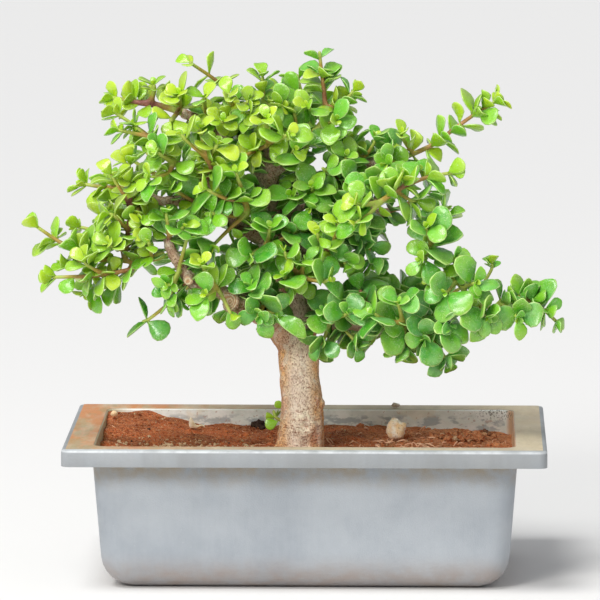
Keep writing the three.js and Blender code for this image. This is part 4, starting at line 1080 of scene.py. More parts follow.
# %% Lumps, rings and knots
def bark_lift(place, girth, way):
    """How far the bark stands out at a place, in millimetres."""
    old = clamp((girth - 5) / 5)
    drift = noise.noise(place / 9) * 1.6
    lumps = noise.noise(place / 13) * 0.8 + noise.noise(place / 5.5) * 0.36
    furrow = noise.noise(Vector((place.x / 2.6, place.y / 2.6, place.z / 8))) * 0.26
    rings = math.sin((way + drift) * 2 * math.pi / 4.6)
    rings = math.copysign(abs(rings) ** 0.6, rings) * 0.15
    young = rings * min(1, girth / 4) + noise.noise(place / 3.5) * 0.3
    return old * (lumps + furrow + 0.4 * rings) + (1 - old) * young


def knot_lift(place):
    """A knot is a raised ring round a shallow hollow."""
    lift = 0
    for x, y, z, size, high in KNOTS:
        away = (place - Vector((x, y, z))).length / size
        ring, hollow = math.exp(-((away - 0.75) / 0.32) ** 2), math.exp(-(away / 0.4) ** 2)
        lift += high * (ring - 0.6 * hollow)
    return lift


def knot_rings(place):
    """The raised pale and sunken dark rings round the largest knot, from -1 to 1, fading outward;
    their colour is partly grain and partly painted highlight and shade.
    """
    away = (place - Vector(KNOTS[0][:3])).length
    far = away + noise.noise(place / 4.5) * 5 + noise.noise(place / 1.8) * 0.8
    fading = math.exp(-(away / (KNOTS[0][3] * 1.2)) ** 2)
    return clamp((0.35 + math.sin(far * 1.5)) * fading, -1, 1)


TRUNK_GIRTH = 9
points = np.array([v.co for v in wood.data.vertices]) / MM
outward = [v.normal.copy() for v in wood.data.vertices]
bark = measure_bark(points)
knot_ring_values = []
for vertex, normal, (girth, way, cut, across) in zip(wood.data.vertices, outward, bark):
    place = vertex.co / MM
    grain = knot_rings(place) if girth > TRUNK_GIRTH else 0
    knot_ring_values.append(grain)
    lift = bark_lift(place, girth, way) + knot_lift(place) + 0.22 * grain
    dish = cut * (0.08 * math.sin(across * 3.6) - 0.4 * (across < girth * 0.4))
    vertex.co += normal * MM * (lift * (1 - cut) + dish)
for label, column in (("girth", 0), ("cut", 2), ("across", 3)):
    note(wood, label, bark[:, column])
note(wood, "knot", knot_ring_values)
smooth(wood, 75)


# %% [markdown]
# ### The colour of bark
#
# The trunk is pale beige with golden and rosy flanks, a greyer middle and fine dark flecks;
# the flanks, at both sides as the camera sees them, are partly bark colour and partly painted
# shade. The pale and dark rings round the largest knot are partly its grain and partly painted
# highlight and shade on its raised rings. The thinner limbs are darker and browner. Girth is
# read from the skin, so the change from one to the other follows the tree. The sawn ends show
# rings.

# %% Material of the bark
def make_bark():
    material, tree, shader = finish("jade_bark", specular_ior_level=0.25)
    x, _, z = place_on(tree)
    young_bark = mix_colour(clouds(tree, 10, 4.0), rgb(178, 134, 112), rgb(236, 202, 176))
    pale = soft_step(z, 150 * MM, 112 * MM)
    old_bark = mix_colour(pale, rgb(246, 218, 188), rgb(255, 243, 214))
    off_centre = calc("ABSOLUTE", calc("ADD", x, 4 * MM))
    # Both sides of the trunk as the camera sees them: golden and rosy partly as bark colour,
    # partly as painted shade where the trunk turns away.
    shaded_flank = soft_step(off_centre, 3 * MM, 10 * MM)
    golden = calc("MULTIPLY_ADD", clouds(tree, 9, 4.0, 0.6), 0.8, 0.3)
    rose = soft_step(clouds(tree, 7, 4.0, 0.5), 0.5, 0.8)
    mauve = times(without(shaded_flank), clouds(tree, 9, 4.0, 0.5))
    old_bark = paint(
        old_bark,
        (clouds(tree, 8, 5.0), 0.6, (252, 234, 204)),
        (times(shaded_flank, golden), 0.85, (244, 178, 98)),
        (times(shaded_flank, rose), 0.5, (224, 146, 116)),
        (mauve, 0.6, (234, 206, 192)),
    )
    old = soft_step(read(tree, "girth"), 6.0, 11.5)
    colour = mix_colour(old, young_bark, old_bark)

    pores = specks(tree, 1.1, 0.5, 1.6)
    flecks = specks(tree, 0.75, 0.5, 0.7)
    shown = calc("MULTIPLY_ADD", clouds(tree, 12), 0.55, 0.28)
    seam = calc("ABSOLUTE", calc("SUBTRACT", clouds(tree, 7, 4.0, 0.8), 0.5))
    seam = times(soft_step(seam, 0.09, 0.01), clouds(tree, 15, 3.0))
    chalk = soft_step(clouds(tree, 5, 4.0, 0.7), 0.62, 0.95)
    crease = times(specks(tree, 3.2, 0.42, 3.4), soft_step(z, 112 * MM, 88 * MM))
    soiled = times(soft_step(z, 88 * MM, 75 * MM), clouds(tree, 6, 4.0))
    knot = read(tree, "knot")
    colour = paint(
        colour,
        (pores, 0.5, (240, 218, 186)),
        (flecks, shown, (150, 88, 48)),
        (seam, 0.6, (150, 88, 54)),
        (chalk, 0.5, (255, 244, 222)),
        (crease, 0.65, (170, 98, 66)),
        (soiled, 0.55, (186, 118, 84)),
        # Round the knot: pale on the raised rings, dark between them, partly the grain's own
        # tone, partly painted highlight and painted shade.
        (soft_step(knot, 0.1, 0.9), 0.7, (255, 244, 214)),
        (soft_step(knot, -0.1, -0.9), 0.5, (168, 122, 88)),
    )
    wander = calc("MULTIPLY_ADD", clouds(tree, 2.5, 3.0), 0.8, read(tree, "across"))
    turn = soft_step(calc("SINE", times(wander, 3.6)), -1.0, 1.0)
    heartwood = mix_colour(turn, rgb(228, 176, 132), rgb(255, 236, 200))
    colour = mix_colour(read(tree, "cut"), colour, heartwood)
    feed(shader, base_color=colour)
    roughen(shader, pores, 0.86, 0.66)
    rise = calc("ADD", times(pores, 0.7), clouds(tree, 1.5, 4.0))
    for dip in (times(flecks, 0.8), times(crease, 1.2), seam):
        rise = calc("SUBTRACT", rise, dip)
    relief(shader, rise, 0.3 * MM)
    return material


hand_over(wood, make_bark(), ["wood"])

# %% [markdown]
# ## One leaf
#
# The leaf of this jade is thick and spoon-shaped: narrow at the stalk, widest past the
# middle, with a rounded tip. It could be a flat card, but its thickness shows on every
# edge, so it is drawn out like dough: an eight-sided ring is extruded along the leaf and
# scaled at each step. At 50 faces it can be repeated over two thousand times.

# %% The master leaf, one unit long and one wide
# How far along each ring is, and its half width and half thickness.
LEAF_STATIONS = [
    (0, 0.05, 0.045), (0.09, 0.09, 0.045), (0.3, 0.31, 0.062), (0.54, 0.465, 0.07),
    (0.75, 0.465, 0.062), (0.9, 0.33, 0.046), (0.985, 0.12, 0.024),
]
TIP_FROM, TIP_SPAN = 0.9, 0.085      # where the pale rim closes round the tip
LEAF_NUMBERS = ("age", "tint", "bloom", "deep")


def model_leaf():
    leaf = start(bpy.ops.mesh.primitive_circle_add, "leaf_base", vertices=8, radius=1,
                 fill_type="NGON", rotation=(math.pi / 2, 0, 0))
    open_mesh(leaf)
    pick("VERT", lambda v: abs(abs(v.co.x) - abs(v.co.z)) < 0.1)
    bpy.ops.transform.resize(value=(1.2, 1, 0.86), center_override=(0, 0, 0))
    bpy.ops.mesh.select_all(action="SELECT")
    place, wide, thick = LEAF_STATIONS[0]
    bpy.ops.transform.resize(value=(wide, 1, thick), center_override=(0, 0, 0))
    bpy.ops.mesh.select_mode(type="FACE")
    for next_place, next_wide, next_thick in LEAF_STATIONS[1:]:
        stride = (0, next_place - place, 0)
        bpy.ops.mesh.extrude_region_move(TRANSFORM_OT_translate={"value": stride})
        bpy.ops.transform.resize(value=(next_wide / wide, 1, next_thick / thick),
                                 center_override=(0, next_place, 0))
        place, wide, thick = next_place, next_wide, next_thick
    close_with(bpy.ops.mesh.normals_make_consistent, inside=False)
    only(leaf)
    bpy.ops.object.shade_smooth()
    return leaf


def half_width_at(place):
    stations = np.array(LEAF_STATIONS)
    return np.interp(place, stations[:, 0], stations[:, 1])


leaf_base = model_leaf()
LEAF_SHAPE = np.array([v.co for v in leaf_base.data.vertices])
rims = np.abs(LEAF_SHAPE[:, 0]) / half_width_at(LEAF_SHAPE[:, 1])
rims = np.maximum(rims, np.clip((LEAF_SHAPE[:, 1] - TIP_FROM) / TIP_SPAN, 0, 1))
note(leaf_base, "edge", rims)
for label in (*LEAF_NUMBERS, "stem"):
    note(leaf_base, label)
note(leaf_base, "reach", LEAF_SHAPE[:, 1])
print("leaf:", len(leaf_base.data.polygons), "faces")

# %% [markdown]
# ## Finding where the leaves go
#
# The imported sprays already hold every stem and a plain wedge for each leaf. In a merged
# copy of a spray, a wedge is easy to know: its top and bottom points stand 1.7 mm apart
# and share one rim. From them come the leaf's root, direction, face and size.
#
# Blender may hand out the corners of a set in another order each time, and then sums of
# them differ in their last digit. So they are always put in the order of their numbers.

# %% Reading a packed spray
WEDGE = {"thick": 1.7 * MM, "full": 0.58, "reach": 0.58098, "fall": 0.058}
NEARLY = 0.02 * MM
HUB_EDGES = (6, 8)


def neighbours(vertex):
    return {edge.other_vert(vertex) for edge in vertex.link_edges}


def middle(vertices):
    """The mean place of a set of corners."""
    ordered = sorted(vertices, key=lambda v: v.index)
    return sum((v.co for v in ordered), Vector()) / len(ordered)


def find_wedges(mesh):
    """Every wedge leaf in an opened mesh: its frame, its size and its own corners."""
    mesh.verts.index_update()
    hubs = [v for v in mesh.verts if len(v.link_edges) in HUB_EDGES]
    found = []
    for i, first in enumerate(hubs):
        for second in hubs[i + 1:]:
            if abs((first.co - second.co).length - WEDGE["thick"]) > NEARLY:
                continue
            rim = neighbours(first) & neighbours(second)
            if not len(rim) + 2 == len(first.link_edges) == len(second.link_edges):
                continue
            centre = (first.co + second.co) / 2
            swap = (first.co - second.co).dot(middle(rim) - centre) < 0
            top, bottom = (second, first) if swap else (first, second)
            upper = neighbours(top) - rim
            lower = neighbours(bottom) - rim
            root = middle(upper | lower)
            normal = (top.co - bottom.co).normalized()
            length = (centre - root).length / WEDGE["reach"]
            along = (centre - root) / (WEDGE["full"] * length) + normal * WEDGE["fall"]
            along.normalize()
            across = normal.cross(along)
            spread = [v.co.dot(across) for v in rim]
            found.append({
                "root": root, "along": along, "normal": normal, "length": length,
                "width": max(spread) - min(spread),
                "up": (middle(upper) - middle(lower)).normalized(),
                "corners": rim | {top, bottom},
            })
    return found


# %% [markdown]
# ## More leaves
#
# A real spray is fuller than its wedges. Most leaf pairs have a second pair coming from
# between leaf and stem, every tip ends in a bud, and leaves also stand along the stems and
# straight on the limbs. New ones are added only where there is room: each standing leaf is
# kept as a flat egg shape, and a new one may not reach into any of them, nor into the wood,
# nor into the gaps that pruning left.

# %% Where a new leaf may go
# Round gaps and bare limbs, as seen by the camera: x, height and radius in millimetres.
GAPS = [
    (-20, 234, 7), (-41, 206, 5), (-31, 196, 5), (-84, 220, 5), (-82, 193, 5), (-69, 173, 5),
    (-46, 160, 8), (-5, 158, 6), (52, 201, 6), (53, 187, 7), (12, 166, 5), (21, 168, 5),
    (6, 245, 5), (4, 237, 4), (-6, 211, 5), (-1, 199, 4), (-48, 196, 4), (-70, 210, 4),
    (-96, 169, 5), (-33, 212, 4), (-47, 179, 5), (-38, 142, 7), (-30, 137, 6), (-22, 135, 5),
    (-9, 297, 7), (-4, 287, 4), (13, 286, 4), (66, 250, 7), (75, 256, 10), (84, 262, 11),
    (93, 268, 11), (-96, 275, 8), (-85, 272, 9), (-75, 269, 8), (-64, 296, 10), (-56, 290, 9),
    (-50, 284, 7), (-92, 152, 15), (-44, 160, 8), (-80, 198, 5), (-74, 240, 7), (41, 217, 7),
    (-68, 172, 6), (-4, 208, 6), (7, 288, 4), (7, 278, 4), (7, 268, 4), (70, 262, 6),
    (80, 250, 6), (52, 222, 5), (62, 225, 5), (72, 228, 5), (78, 176, 5), (86, 168, 5),
    (2, 190, 4), (10, 194, 4), (18, 198, 4), (-22, 251, 6), (-20, 224, 6), (-104, 220, 4),
    (-104, 212, 4), (-104, 204, 4), (-77, 189, 5), (-73, 181, 5), (-104, 183, 5),
    (-118, 226, 4), (-110, 225, 4),
]
SIGHT_FALL = 0.126
CELL = 11 * MM
EGG = {"centre": 0.6, "long": 0.36, "wide": 0.42, "thick": 1.0 * MM}
TOUCH = [(0, 0), (1, 0), (-1, 0), (0, 1), (0, -1)]
TOUCH += [(a, b) for a in (0.7, -0.7) for b in (0.7, -0.7)]
EDGE_ROOM = 0.8 * MM
WOOD_ROOM = 0.6 * MM
LONELY, CROWDED = 16, 22      # leaves close by, and how many more make it deep inside
SKYWARD = Vector((0, 0, 1))
standing = {}


def in_gap(place):
    x, height = place.x / MM, (place.z + SIGHT_FALL * place.y) / MM
    return any(math.hypot(x - gx, height - gz) < size for gx, gz, size in GAPS)


def egg_of(leaf):
    """The flat egg that a leaf fills: its centre, its axes, and nine points on it."""
    long, wide = EGG["long"] * leaf["length"], EGG["wide"] * leaf["width"]
    centre = np.array(leaf["root"] + leaf["along"] * leaf["length"] * EGG["centre"])
    along, normal = np.array(leaf["along"]), np.array(leaf["normal"])
    across = np.cross(along, normal)
    axes = np.array([along / long, across / wide, normal / EGG["thick"]])
    points = centre + np.array([a * along * long + b * across * wide for a, b in TOUCH])
    return centre, axes, points


def cell_of(centre):
    return tuple(int(math.floor(value / CELL)) for value in centre)


def stand(leaf):
    """Notes a leaf as standing."""
    egg = egg_of(leaf)
    standing.setdefault(cell_of(egg[0]), []).append(egg)


def eggs_near(centre):
    """The standing leaves in the cell of a place and in all the cells round it."""
    cell = cell_of(centre)
    for step in itertools.product((-1, 0, 1), repeat=3):
        yield from standing.get(tuple(a + b for a, b in zip(cell, step)), ())


def reaches_into(points, centre, axes):
    return bool((((points - centre) @ axes.T) ** 2).sum(1).min() < 1)


def has_room(leaf):
    tip = leaf["root"] + leaf["along"] * leaf["length"]
    for k in range(3):
        margin = leaf["width"] / 2 * math.sqrt(max(0, 1 - leaf["along"][k] ** 2)) + EDGE_ROOM
        if not cad_box[0][k] + margin * (k < 2) < tip[k] < cad_box[1][k] - margin:
            return False
    centre, axes, points = egg_of(leaf)
    if in_gap(Vector(centre)) or in_gap(tip):
        return False
    for place in (Vector(centre), tip):
        near, outward = wood.closest_point_on_mesh(place)[1:3]
        if (place - near).dot(outward) < WOOD_ROOM:
            return False
    return not any(reaches_into(points, other, other_axes)
                   or reaches_into(other_points, centre, axes)
                   for other, other_axes, other_points in eggs_near(centre))


def depth_of(leaf):
    """0 for a leaf at the outside of the crown, 1 where many others stand close round it."""
    count = sum(1 for _ in eggs_near(egg_of(leaf)[0]))
    return clamp((count - LONELY) / CROWDED)


def keep_those_with_room(leaves):
    """One after another, so that each new leaf also leaves room for the next."""
    kept = []
    for leaf in leaves:
        if has_room(leaf):
            stand(leaf)
            kept.append(leaf)
    return kept


# %% [markdown]
# ### Three kinds of new leaf
#
# Each starts from something that already stands: a wedge, the tip of a stem, or a place on
# a stem or limb. They differ in how far they open and in how large they grow.


# %% New leaves from wedges, tips, stems and limbs
def leaf_toward(root, heading, up, length, width):
    """A leaf along a heading whose face is turned up as far as that allows."""
    along = heading.normalized()
    normal = (up - along * up.dot(along)).normalized()
    return {"root": root, "along": along, "normal": normal, "length": length,
            "width": width, "up": up}


def side_leaves(wedge, rng):
    """A second pair from between a leaf and its stem."""
    side = wedge["along"].cross(wedge["up"]).normalized()
    between = (wedge["along"] + wedge["up"] * rng.uniform(0.3, 1.0)).normalized()
    pair = []
    for way in (-1, 1):
        length = wedge["length"] * rng.uniform(0.66, 1.0)
        heading = between + side * way * rng.uniform(0.6, 1.5)
        root = wedge["root"] + between * 0.4 * MM
        facing = wedge["up"] + wedge["normal"] * 0.4 + SKYWARD * 0.5
        pair.append(leaf_toward(root, heading, facing, length, length * rng.uniform(0.76, 0.94)))
    return pair


def tip_leaves(tip, heading, rng):
    """The bud at a tip: two young leaves and two that are only just open."""
    level = heading.orthogonal().normalized()
    level.rotate(Matrix.Rotation(rng.uniform(0, 3.1), 3, heading))
    other = heading.cross(level)
    buds = []
    for side, open_by, length in ((level, 1.1, 10.5), (-level, 1.1, 10),
                                  (other, 0.5, 5), (-other, 0.5, 4.6)):
        size = length * MM * rng.uniform(0.85, 1.2)
        root = tip - heading * 0.3 * MM
        buds.append(leaf_toward(root, heading + side * open_by, heading, size, size * 0.74))
    return buds


def leaf_from(root, outward, rng, sizes):
    """A leaf from a place on a stem or limb, turned to the light; larger on the right."""
    swing = Vector((rng.gauss(0, 0.5), rng.gauss(0, 0.5), rng.gauss(0.25, 0.4)))
    length = rng.uniform(*sizes) * MM * (1 + 0.15 * math.tanh(root.x / MM / 40))
    facing = SKYWARD + Vector((rng.gauss(0, 0.35), rng.gauss(-0.25, 0.35), 0)) + outward * 0.35
    width = length * rng.uniform(0.78, 0.95)
    return leaf_toward(root - outward * 0.5 * MM, outward + swing, facing, length, width)


def leaves_on(thing, count, rng, sizes, allowed):
    """Up to so many leaves from random places on a mesh."""
    corners = [v for v in thing.data.vertices if allowed(v)]
    picked = [corners[rng.randrange(len(corners))] for _ in range(count if corners else 0)]
    return [leaf_from(v.co.copy(), v.normal.copy(), rng, sizes) for v in picked]


# %% [markdown]
# ## Stems and leaves of a spray
#
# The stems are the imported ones, made round: the wedges are taken off, their holes closed,
# the triangles paired into quads, and Subdivision Surface does the rest. The foot is drawn
# a little way into the wood, so that no seam shows where the spray grows from it. Closing
# holes numbers the new corners differently from run to run, so they are numbered again.

# %% Stems
FOOT_REACH = 1.6 * MM
CAP_TURN = math.radians(55)
FLAT_TURN, SQUARE_TURN = math.radians(50), math.radians(70)
ROUND = 2
SWELL = 0.38 * MM
THICK_STEMS = {"spray_top_left": 0.8 * MM}
FAR = 1.0


def is_sharp(edge):
    return edge.is_manifold and edge.calc_face_angle() > CAP_TURN


def caps_of(mesh):
    """The flat ends of the stems, the foot first: faces with a sharp turn at every edge."""
    caps = [f for f in mesh.faces if len(f.verts) == 4 and all(is_sharp(e) for e in f.edges)]
    foot = max(caps, key=lambda f: f.calc_area(), default=None)
    return sorted(caps, key=lambda f: (f != foot, min(v.index for v in f.verts)))


def recount(thing):
    """Rebuilds a mesh with its corners and faces in an order that is the same in each run."""
    old = thing.data
    order = sorted(range(len(old.vertices)), key=lambda i: old.vertices[i].co[:])
    number = {i: k for k, i in enumerate(order)}
    rings = []
    for face in old.polygons:
        ring = [number[i] for i in face.vertices]
        first = ring.index(min(ring))
        rings.append(ring[first:] + ring[:first])
    thing.data = bpy.data.meshes.new(thing.name)
    thing.data.from_pydata([old.vertices[i].co[:] for i in order], [], sorted(rings))
    if "stem" in old.attributes:
        note(thing, "stem", [old.attributes["stem"].data[i].value for i in order])


def walk_from(mesh, seeds):
    """How far each corner is from the nearest of the seeds, along the edges."""
    far = {v: FAR for v in mesh.verts}
    far.update({v: 0.0 for v in seeds})
    queue = list(seeds)
    while queue:
        vertex = queue.pop(0)
        for edge in vertex.link_edges:
            other, length = edge.other_vert(vertex), far[vertex] + edge.calc_length()
            if length < far[other]:
                far[other] = length
                queue.append(other)
    return far


def make_stems(node_name, piece_name):
    """The stems of a packed spray, its wedges as leaf frames, and its tips."""
    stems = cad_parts[node_name].copy()
    stems.data = stems.data.copy()
    stems.parent = None
    stems.name = stems.data.name = piece_name
    for key in list(stems.keys()):
        del stems[key]
    bpy.context.collection.objects.link(stems)
    open_mesh(stems)
    bpy.ops.mesh.select_mode(type="VERT")
    bpy.ops.mesh.select_all(action="SELECT")
    bpy.ops.mesh.remove_doubles(threshold=0.001 * MM)
    mesh = bmesh.from_edit_mesh(stems.data)
    wedges = find_wedges(mesh)
    gone = {v for wedge in wedges for v in wedge.pop("corners")}
    pick("VERT", lambda v: v in gone)
    bpy.ops.mesh.delete(type="VERT")
    bpy.ops.mesh.select_all(action="SELECT")
    bpy.ops.mesh.fill_holes(sides=4)
    close_with(bpy.ops.mesh.tris_convert_to_quads, face_threshold=FLAT_TURN,
               shape_threshold=SQUARE_TURN)
    recount(stems)
    open_mesh(stems)
    mesh = bmesh.from_edit_mesh(stems.data)
    caps = caps_of(mesh)
    tips = [(cap.calc_center_median(), cap.normal.copy()) for cap in caps[1:]]
    layer = mesh.verts.layers.float.new("stem")
    tip_way = walk_from(mesh, [v for cap in caps[1:] for v in cap.verts])
    for vertex, way in tip_way.items():
        vertex[layer] = way / MM
    if caps:
        into_wood = caps[0].normal * FOOT_REACH
        pick("FACE", lambda f: f == caps[0])
        bpy.ops.mesh.extrude_region_move(TRANSFORM_OT_translate={"value": into_wood})
    close_mesh()
    recount(stems)
    modify(stems, "SUBSURF", levels=ROUND, render_levels=ROUND)
    swell = THICK_STEMS.get(node_name, SWELL)
    outward = [v.normal * swell for v in stems.data.vertices]
    for vertex, push in zip(stems.data.vertices, outward):
        vertex.co += push
    only(stems)
    bpy.ops.object.shade_smooth()
    return stems, wedges, tips


# %% Leaves
BOX = np.array([cad_box[0], cad_box[1]])
PEAK, PEAK_SPREAD = (14, 272), 14      # x and height of the crown's youngest place


# How much each leaf may differ: fold, cup, fall, twist, lean, wave, tip and phase.
LEAF_SPANS = [
    (0, 0.15), (-0.02, 0.12), (-0.1, 0.26), (-0.4, 0.4), (-0.16, 0.16), (-0.06, 0.06),
    (-0.05, 0.1), ANY_TURN,
]


def place_leaf(leaf, rng, material):
    """A copy of the master leaf, shaped a little differently each time."""
    along, normal, length = leaf["along"], leaf["normal"], leaf["length"]
    across = along.cross(normal)
    fold, cup, fall, twist, lean, wave, tip, phase = (rng.uniform(*span) for span in LEAF_SPANS)
    x, y, z = LEAF_SHAPE.T
    side = np.abs(2 * x)
    rise = z + fold * side + cup * side ** 2 - fall * y ** 2 + twist * x * y
    rise = rise + wave * side * np.sin(6 * y + phase + x)
    y = y * (1 + tip * y ** 3 * (1 - 1.2 * side))
    x = x + lean * np.sin(math.pi * np.clip(y, 0, 1)) * 0.5 + 0.1 * lean * side
    points = (np.outer(y * length, along) + np.outer(x * leaf["width"], across)
              + np.outer(rise * length, normal) + np.array(leaf["root"]))
    points += np.maximum(0, BOX[0] - points.min(0)) - np.maximum(0, points.max(0) - BOX[1])
    mesh = leaf_base.data.copy()
    mesh.vertices.foreach_set("co", points.ravel())
    for label in LEAF_NUMBERS:
        mesh.attributes[label].data.foreach_set("value", np.full(len(x), leaf[label], np.float32))
    mesh.materials.append(material)
    copy = bpy.data.objects.new("leaf", mesh)
    bpy.context.collection.objects.link(copy)
    return copy


def colour_leaf(leaf, young_spray, rng):
    """Small leaves, tips, and those on the left and at the peak are younger and yellower."""
    x, z = leaf["root"].x / MM, leaf["root"].z / MM
    age = 0.34 if young_spray else 0.72
    age += 0.16 * math.tanh(x / 60) + 0.26 * math.tanh((215 - z) / 45)
    age += 0.26 * (leaf["length"] / MM - 13) / 8 + rng.uniform(-0.16, 0.16) - leaf.get("young", 0)
    age -= 0.3 * math.exp(-math.hypot(x - PEAK[0], z - PEAK[1]) / PEAK_SPREAD)
    leaf["age"] = clamp(age)
    leaf["tint"] = rng.random()
    # How crowded a leaf is; the leaf material darkens crowded leaves, partly for their age and
    # partly as painted shade.
    leaf["deep"] = depth_of(leaf)
    leaf["bloom"] = clamp(rng.gauss(0.4 + 0.25 * math.tanh((x + 20) / 60), 0.28))
    return leaf


# %% [markdown]
# ### The colour of leaves and young stems
#
# A grown leaf is a deep, slightly glossy green under a pale bloom that is rubbed off in
# patches; a young one is yellow-green. The rim is paler, since light gets through where the
# leaf is thin. Young stems are lime at the tip and turn olive and then brown or red-brown;
# the thick ones at the top left are plum.

# %% Materials of leaves and stems
def make_leaf():
    material, tree, shader = finish(
        "jade_leaf", specular_ior_level=0.5, coat_weight=0.5, coat_roughness=0.17)
    age, tint, reach = read(tree, "age"), read(tree, "tint"), read(tree, "reach")
    young = mix_colour(tint, rgb(150, 204, 20), rgb(202, 226, 40))
    middle_age = mix_colour(tint, rgb(92, 188, 12), rgb(138, 204, 24))
    grown = mix_colour(tint, rgb(46, 150, 22), rgb(88, 184, 28))
    colour = mix_colour(soft_step(age, 0.1, 0.5), young, middle_age)
    colour = mix_colour(soft_step(age, 0.45, 0.9), colour, grown)
    shade = times(soft_step(clouds(tree, 5, 3.0), 0.35, 0.9), age)
    film = times(times(read(tree, "bloom"), clouds(tree, 9, 4.0)), age)
    dots = times(specks(tree, 0.8, 0.5), clouds(tree, 5, 2.0))
    ripe = times(soft_step(reach, 0.35, 1.0), tint)
    colour = paint(
        colour,
        (shade, 0.34, (34, 112, 16)),
        # Leaves deep in the crown are darker: partly older leaves, partly painted shade.
        (read(tree, "deep"), 0.24, (32, 104, 16)),
        (clouds(tree, 4, 3.0), 0.24, (168, 218, 60)),
        (film, 0.56, (146, 208, 142)),
        (dots, 0.4, (206, 228, 176)),
        (soft_step(read(tree, "edge"), 0.87, 0.98), 0.66, (206, 232, 150)),
        (ripe, 0.3, (188, 210, 70)),
        (without(soft_step(reach, 0.02, 0.2)), 0.5, (160, 172, 80)),
    )
    feed(shader, base_color=colour)
    roughen(shader, film, 0.3, 0.52)
    skin = calc("ADD", clouds(tree, 2.6, 3.0), times(specks(tree, 0.5, 0.5), 0.25))
    relief(shader, skin, 0.11 * MM)
    return material


def make_stem():
    material, tree, shader = finish("young_stem", roughness=0.5, specular_ior_level=0.4)
    way = read(tree, "stem")
    red = mix_colour(clouds(tree, 7, 3.0), rgb(124, 58, 66), rgb(176, 112, 92))
    brown = mix_colour(clouds(tree, 7, 3.0), rgb(140, 92, 48), rgb(184, 134, 84))
    red = mix_colour(soft_step(clouds(tree, 55, 2.0), 0.35, 0.65), brown, red)
    olive = mix_colour(clouds(tree, 6, 3.0), rgb(150, 148, 48), rgb(186, 148, 72))
    colour = mix_colour(soft_step(way, 2.0, 9.0), rgb(172, 190, 84), olive)
    colour = mix_colour(soft_step(way, 10.0, 24.0), colour, red)
    x, _, z = place_on(tree)
    thick = times(soft_step(x, -66 * MM, -76 * MM), soft_step(z, 258 * MM, 264 * MM))
    thick = times(thick, soft_step(way, 6.0, 14.0))
    plum = mix_colour(clouds(tree, 5, 3.0), rgb(118, 52, 76), rgb(172, 100, 112))
    colour = mix_colour(times(thick, 0.85), colour, plum)
    colour = paint(colour, (specks(tree, 1.6, 0.42, 3.0), 0.5, (182, 150, 118)))
    feed(shader, base_color=colour)
    relief(shader, clouds(tree, 1.4, 3.0), 0.12 * MM)
    return material


LEAF = make_leaf()
STEM = make_stem()

# %% [markdown]
# ## All the sprays
#
# Every packed spray is turned into stems and leaves in the same way, one after another,
# from a seed of its own, so that the plant grows the same each time. Sizes are in
# millimetres where they are not multiplied by MM.

# %% What grows where
SIDE_CHANCE = 0.9                            # of a second pair at a wedge
STEM_TRIES, TRIES_PER_WEDGE = 10, 4          # leaves along the stems of a spray
STEM_SIZES, LIMB_SIZES = (9.5, 15), (10.5, 16)
LIMB_TRIES = 2600
BARE_TIP = 12                                # no leaf on a stem nearer to its tip
LOWEST, LOWEST_ON_LIMB = 128 * MM, 146 * MM
THICKEST_WITH_LEAVES = 7.5                   # girth of a limb
SPRAY_SEED, LIMB_SEED = 100, 77
LONG_LEAF = 22 * MM
LOW_SHOOT = "spray_sucker"


# %% Leaves with a pose of their own
def is_leafy(label):
    return "young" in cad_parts[label].data.materials[0].name


def face_the_sky(wedge):
    """Leaves on the left lie flatter than those on the right."""
    x = wedge["root"].x / MM
    pull = 0.1 + 0.75 / (1 + math.exp((x + 30) / 15))
    facing = wedge["normal"] + SKYWARD * pull
    along = wedge["along"]
    wedge["normal"] = (facing - along * facing.dot(along)).normalized()


def shape_long_leaf(wedge):
    """The one leaf that is far longer than the rest is narrow and droops to the right."""
    heading, facing, length = (0.82, -0.15, -0.56), (0.1, -0.8, 0.6), wedge["length"]
    if length > LONG_LEAF:
        wedge.update(leaf_toward(wedge["root"], Vector(heading), Vector(facing),
                                 length * 1.08, length * 0.42), young=0.45)


def low_shoot_leaves():
    """Two small round leaves on the shoot at the foot of the trunk."""
    facing = Vector((-0.1, -1, 0.35))
    shoots = [
        ((-17, -13, 90.5), (-0.9, -0.1, -0.4), 8),
        ((-15, -12, 98), (-0.7, -0.1, 0.8), 5.4),
    ]
    return [leaf_toward(Vector(root) * MM, Vector(heading), facing, size * MM, size * 0.95 * MM)
            for root, heading, size in shoots]


# Leaves that stand clear of the rest: number, heading, facing, length in millimetres, and
# width as a share of the length.
POSED = {
    "spray_drop_left": [
        (0, (-0.2, 0, 1), (0.7, -0.7, 0.1), 13, 0.5),
        (1, (-0.8, -0.1, -0.6), (-0.4, -0.6, 0.7), 15, 0.55),
        (2, (0.84, -0.1, -0.54), (-0.1, -1, 0.2), 15, 0.9),
    ],
    "spray_peak": [(7, (-0.55, -0.1, 0.8), (0.1, -0.9, 0.5), 12, 0.8)],
}


def pose(name, wedges):
    for number, heading, facing, length, share in POSED.get(name, ()):
        wedges[number].update(leaf_toward(wedges[number]["root"], Vector(heading), Vector(facing),
                                          length * MM, length * share * MM))


# %% Stems first: every packed leaf must stand before a new one is tried
spray_names = [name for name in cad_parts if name.startswith("spray_")]
sprays = [(name, is_leafy(name), *make_stems(name, "jade_" + name)) for name in spray_names]
for name, young, stems, wedges, tips in sprays:
    for wedge in wedges:
        face_the_sky(wedge)
        shape_long_leaf(wedge)
    pose(name, wedges)
    for wedge in wedges:
        stand(wedge)
print(len(sprays), "sprays,", sum(len(row[3]) for row in sprays), "leaves as packed")


# %% Grow them
def lay_leaves(leaves, young, rng):
    return [place_leaf(colour_leaf(leaf, young, rng), rng, LEAF) for leaf in leaves]


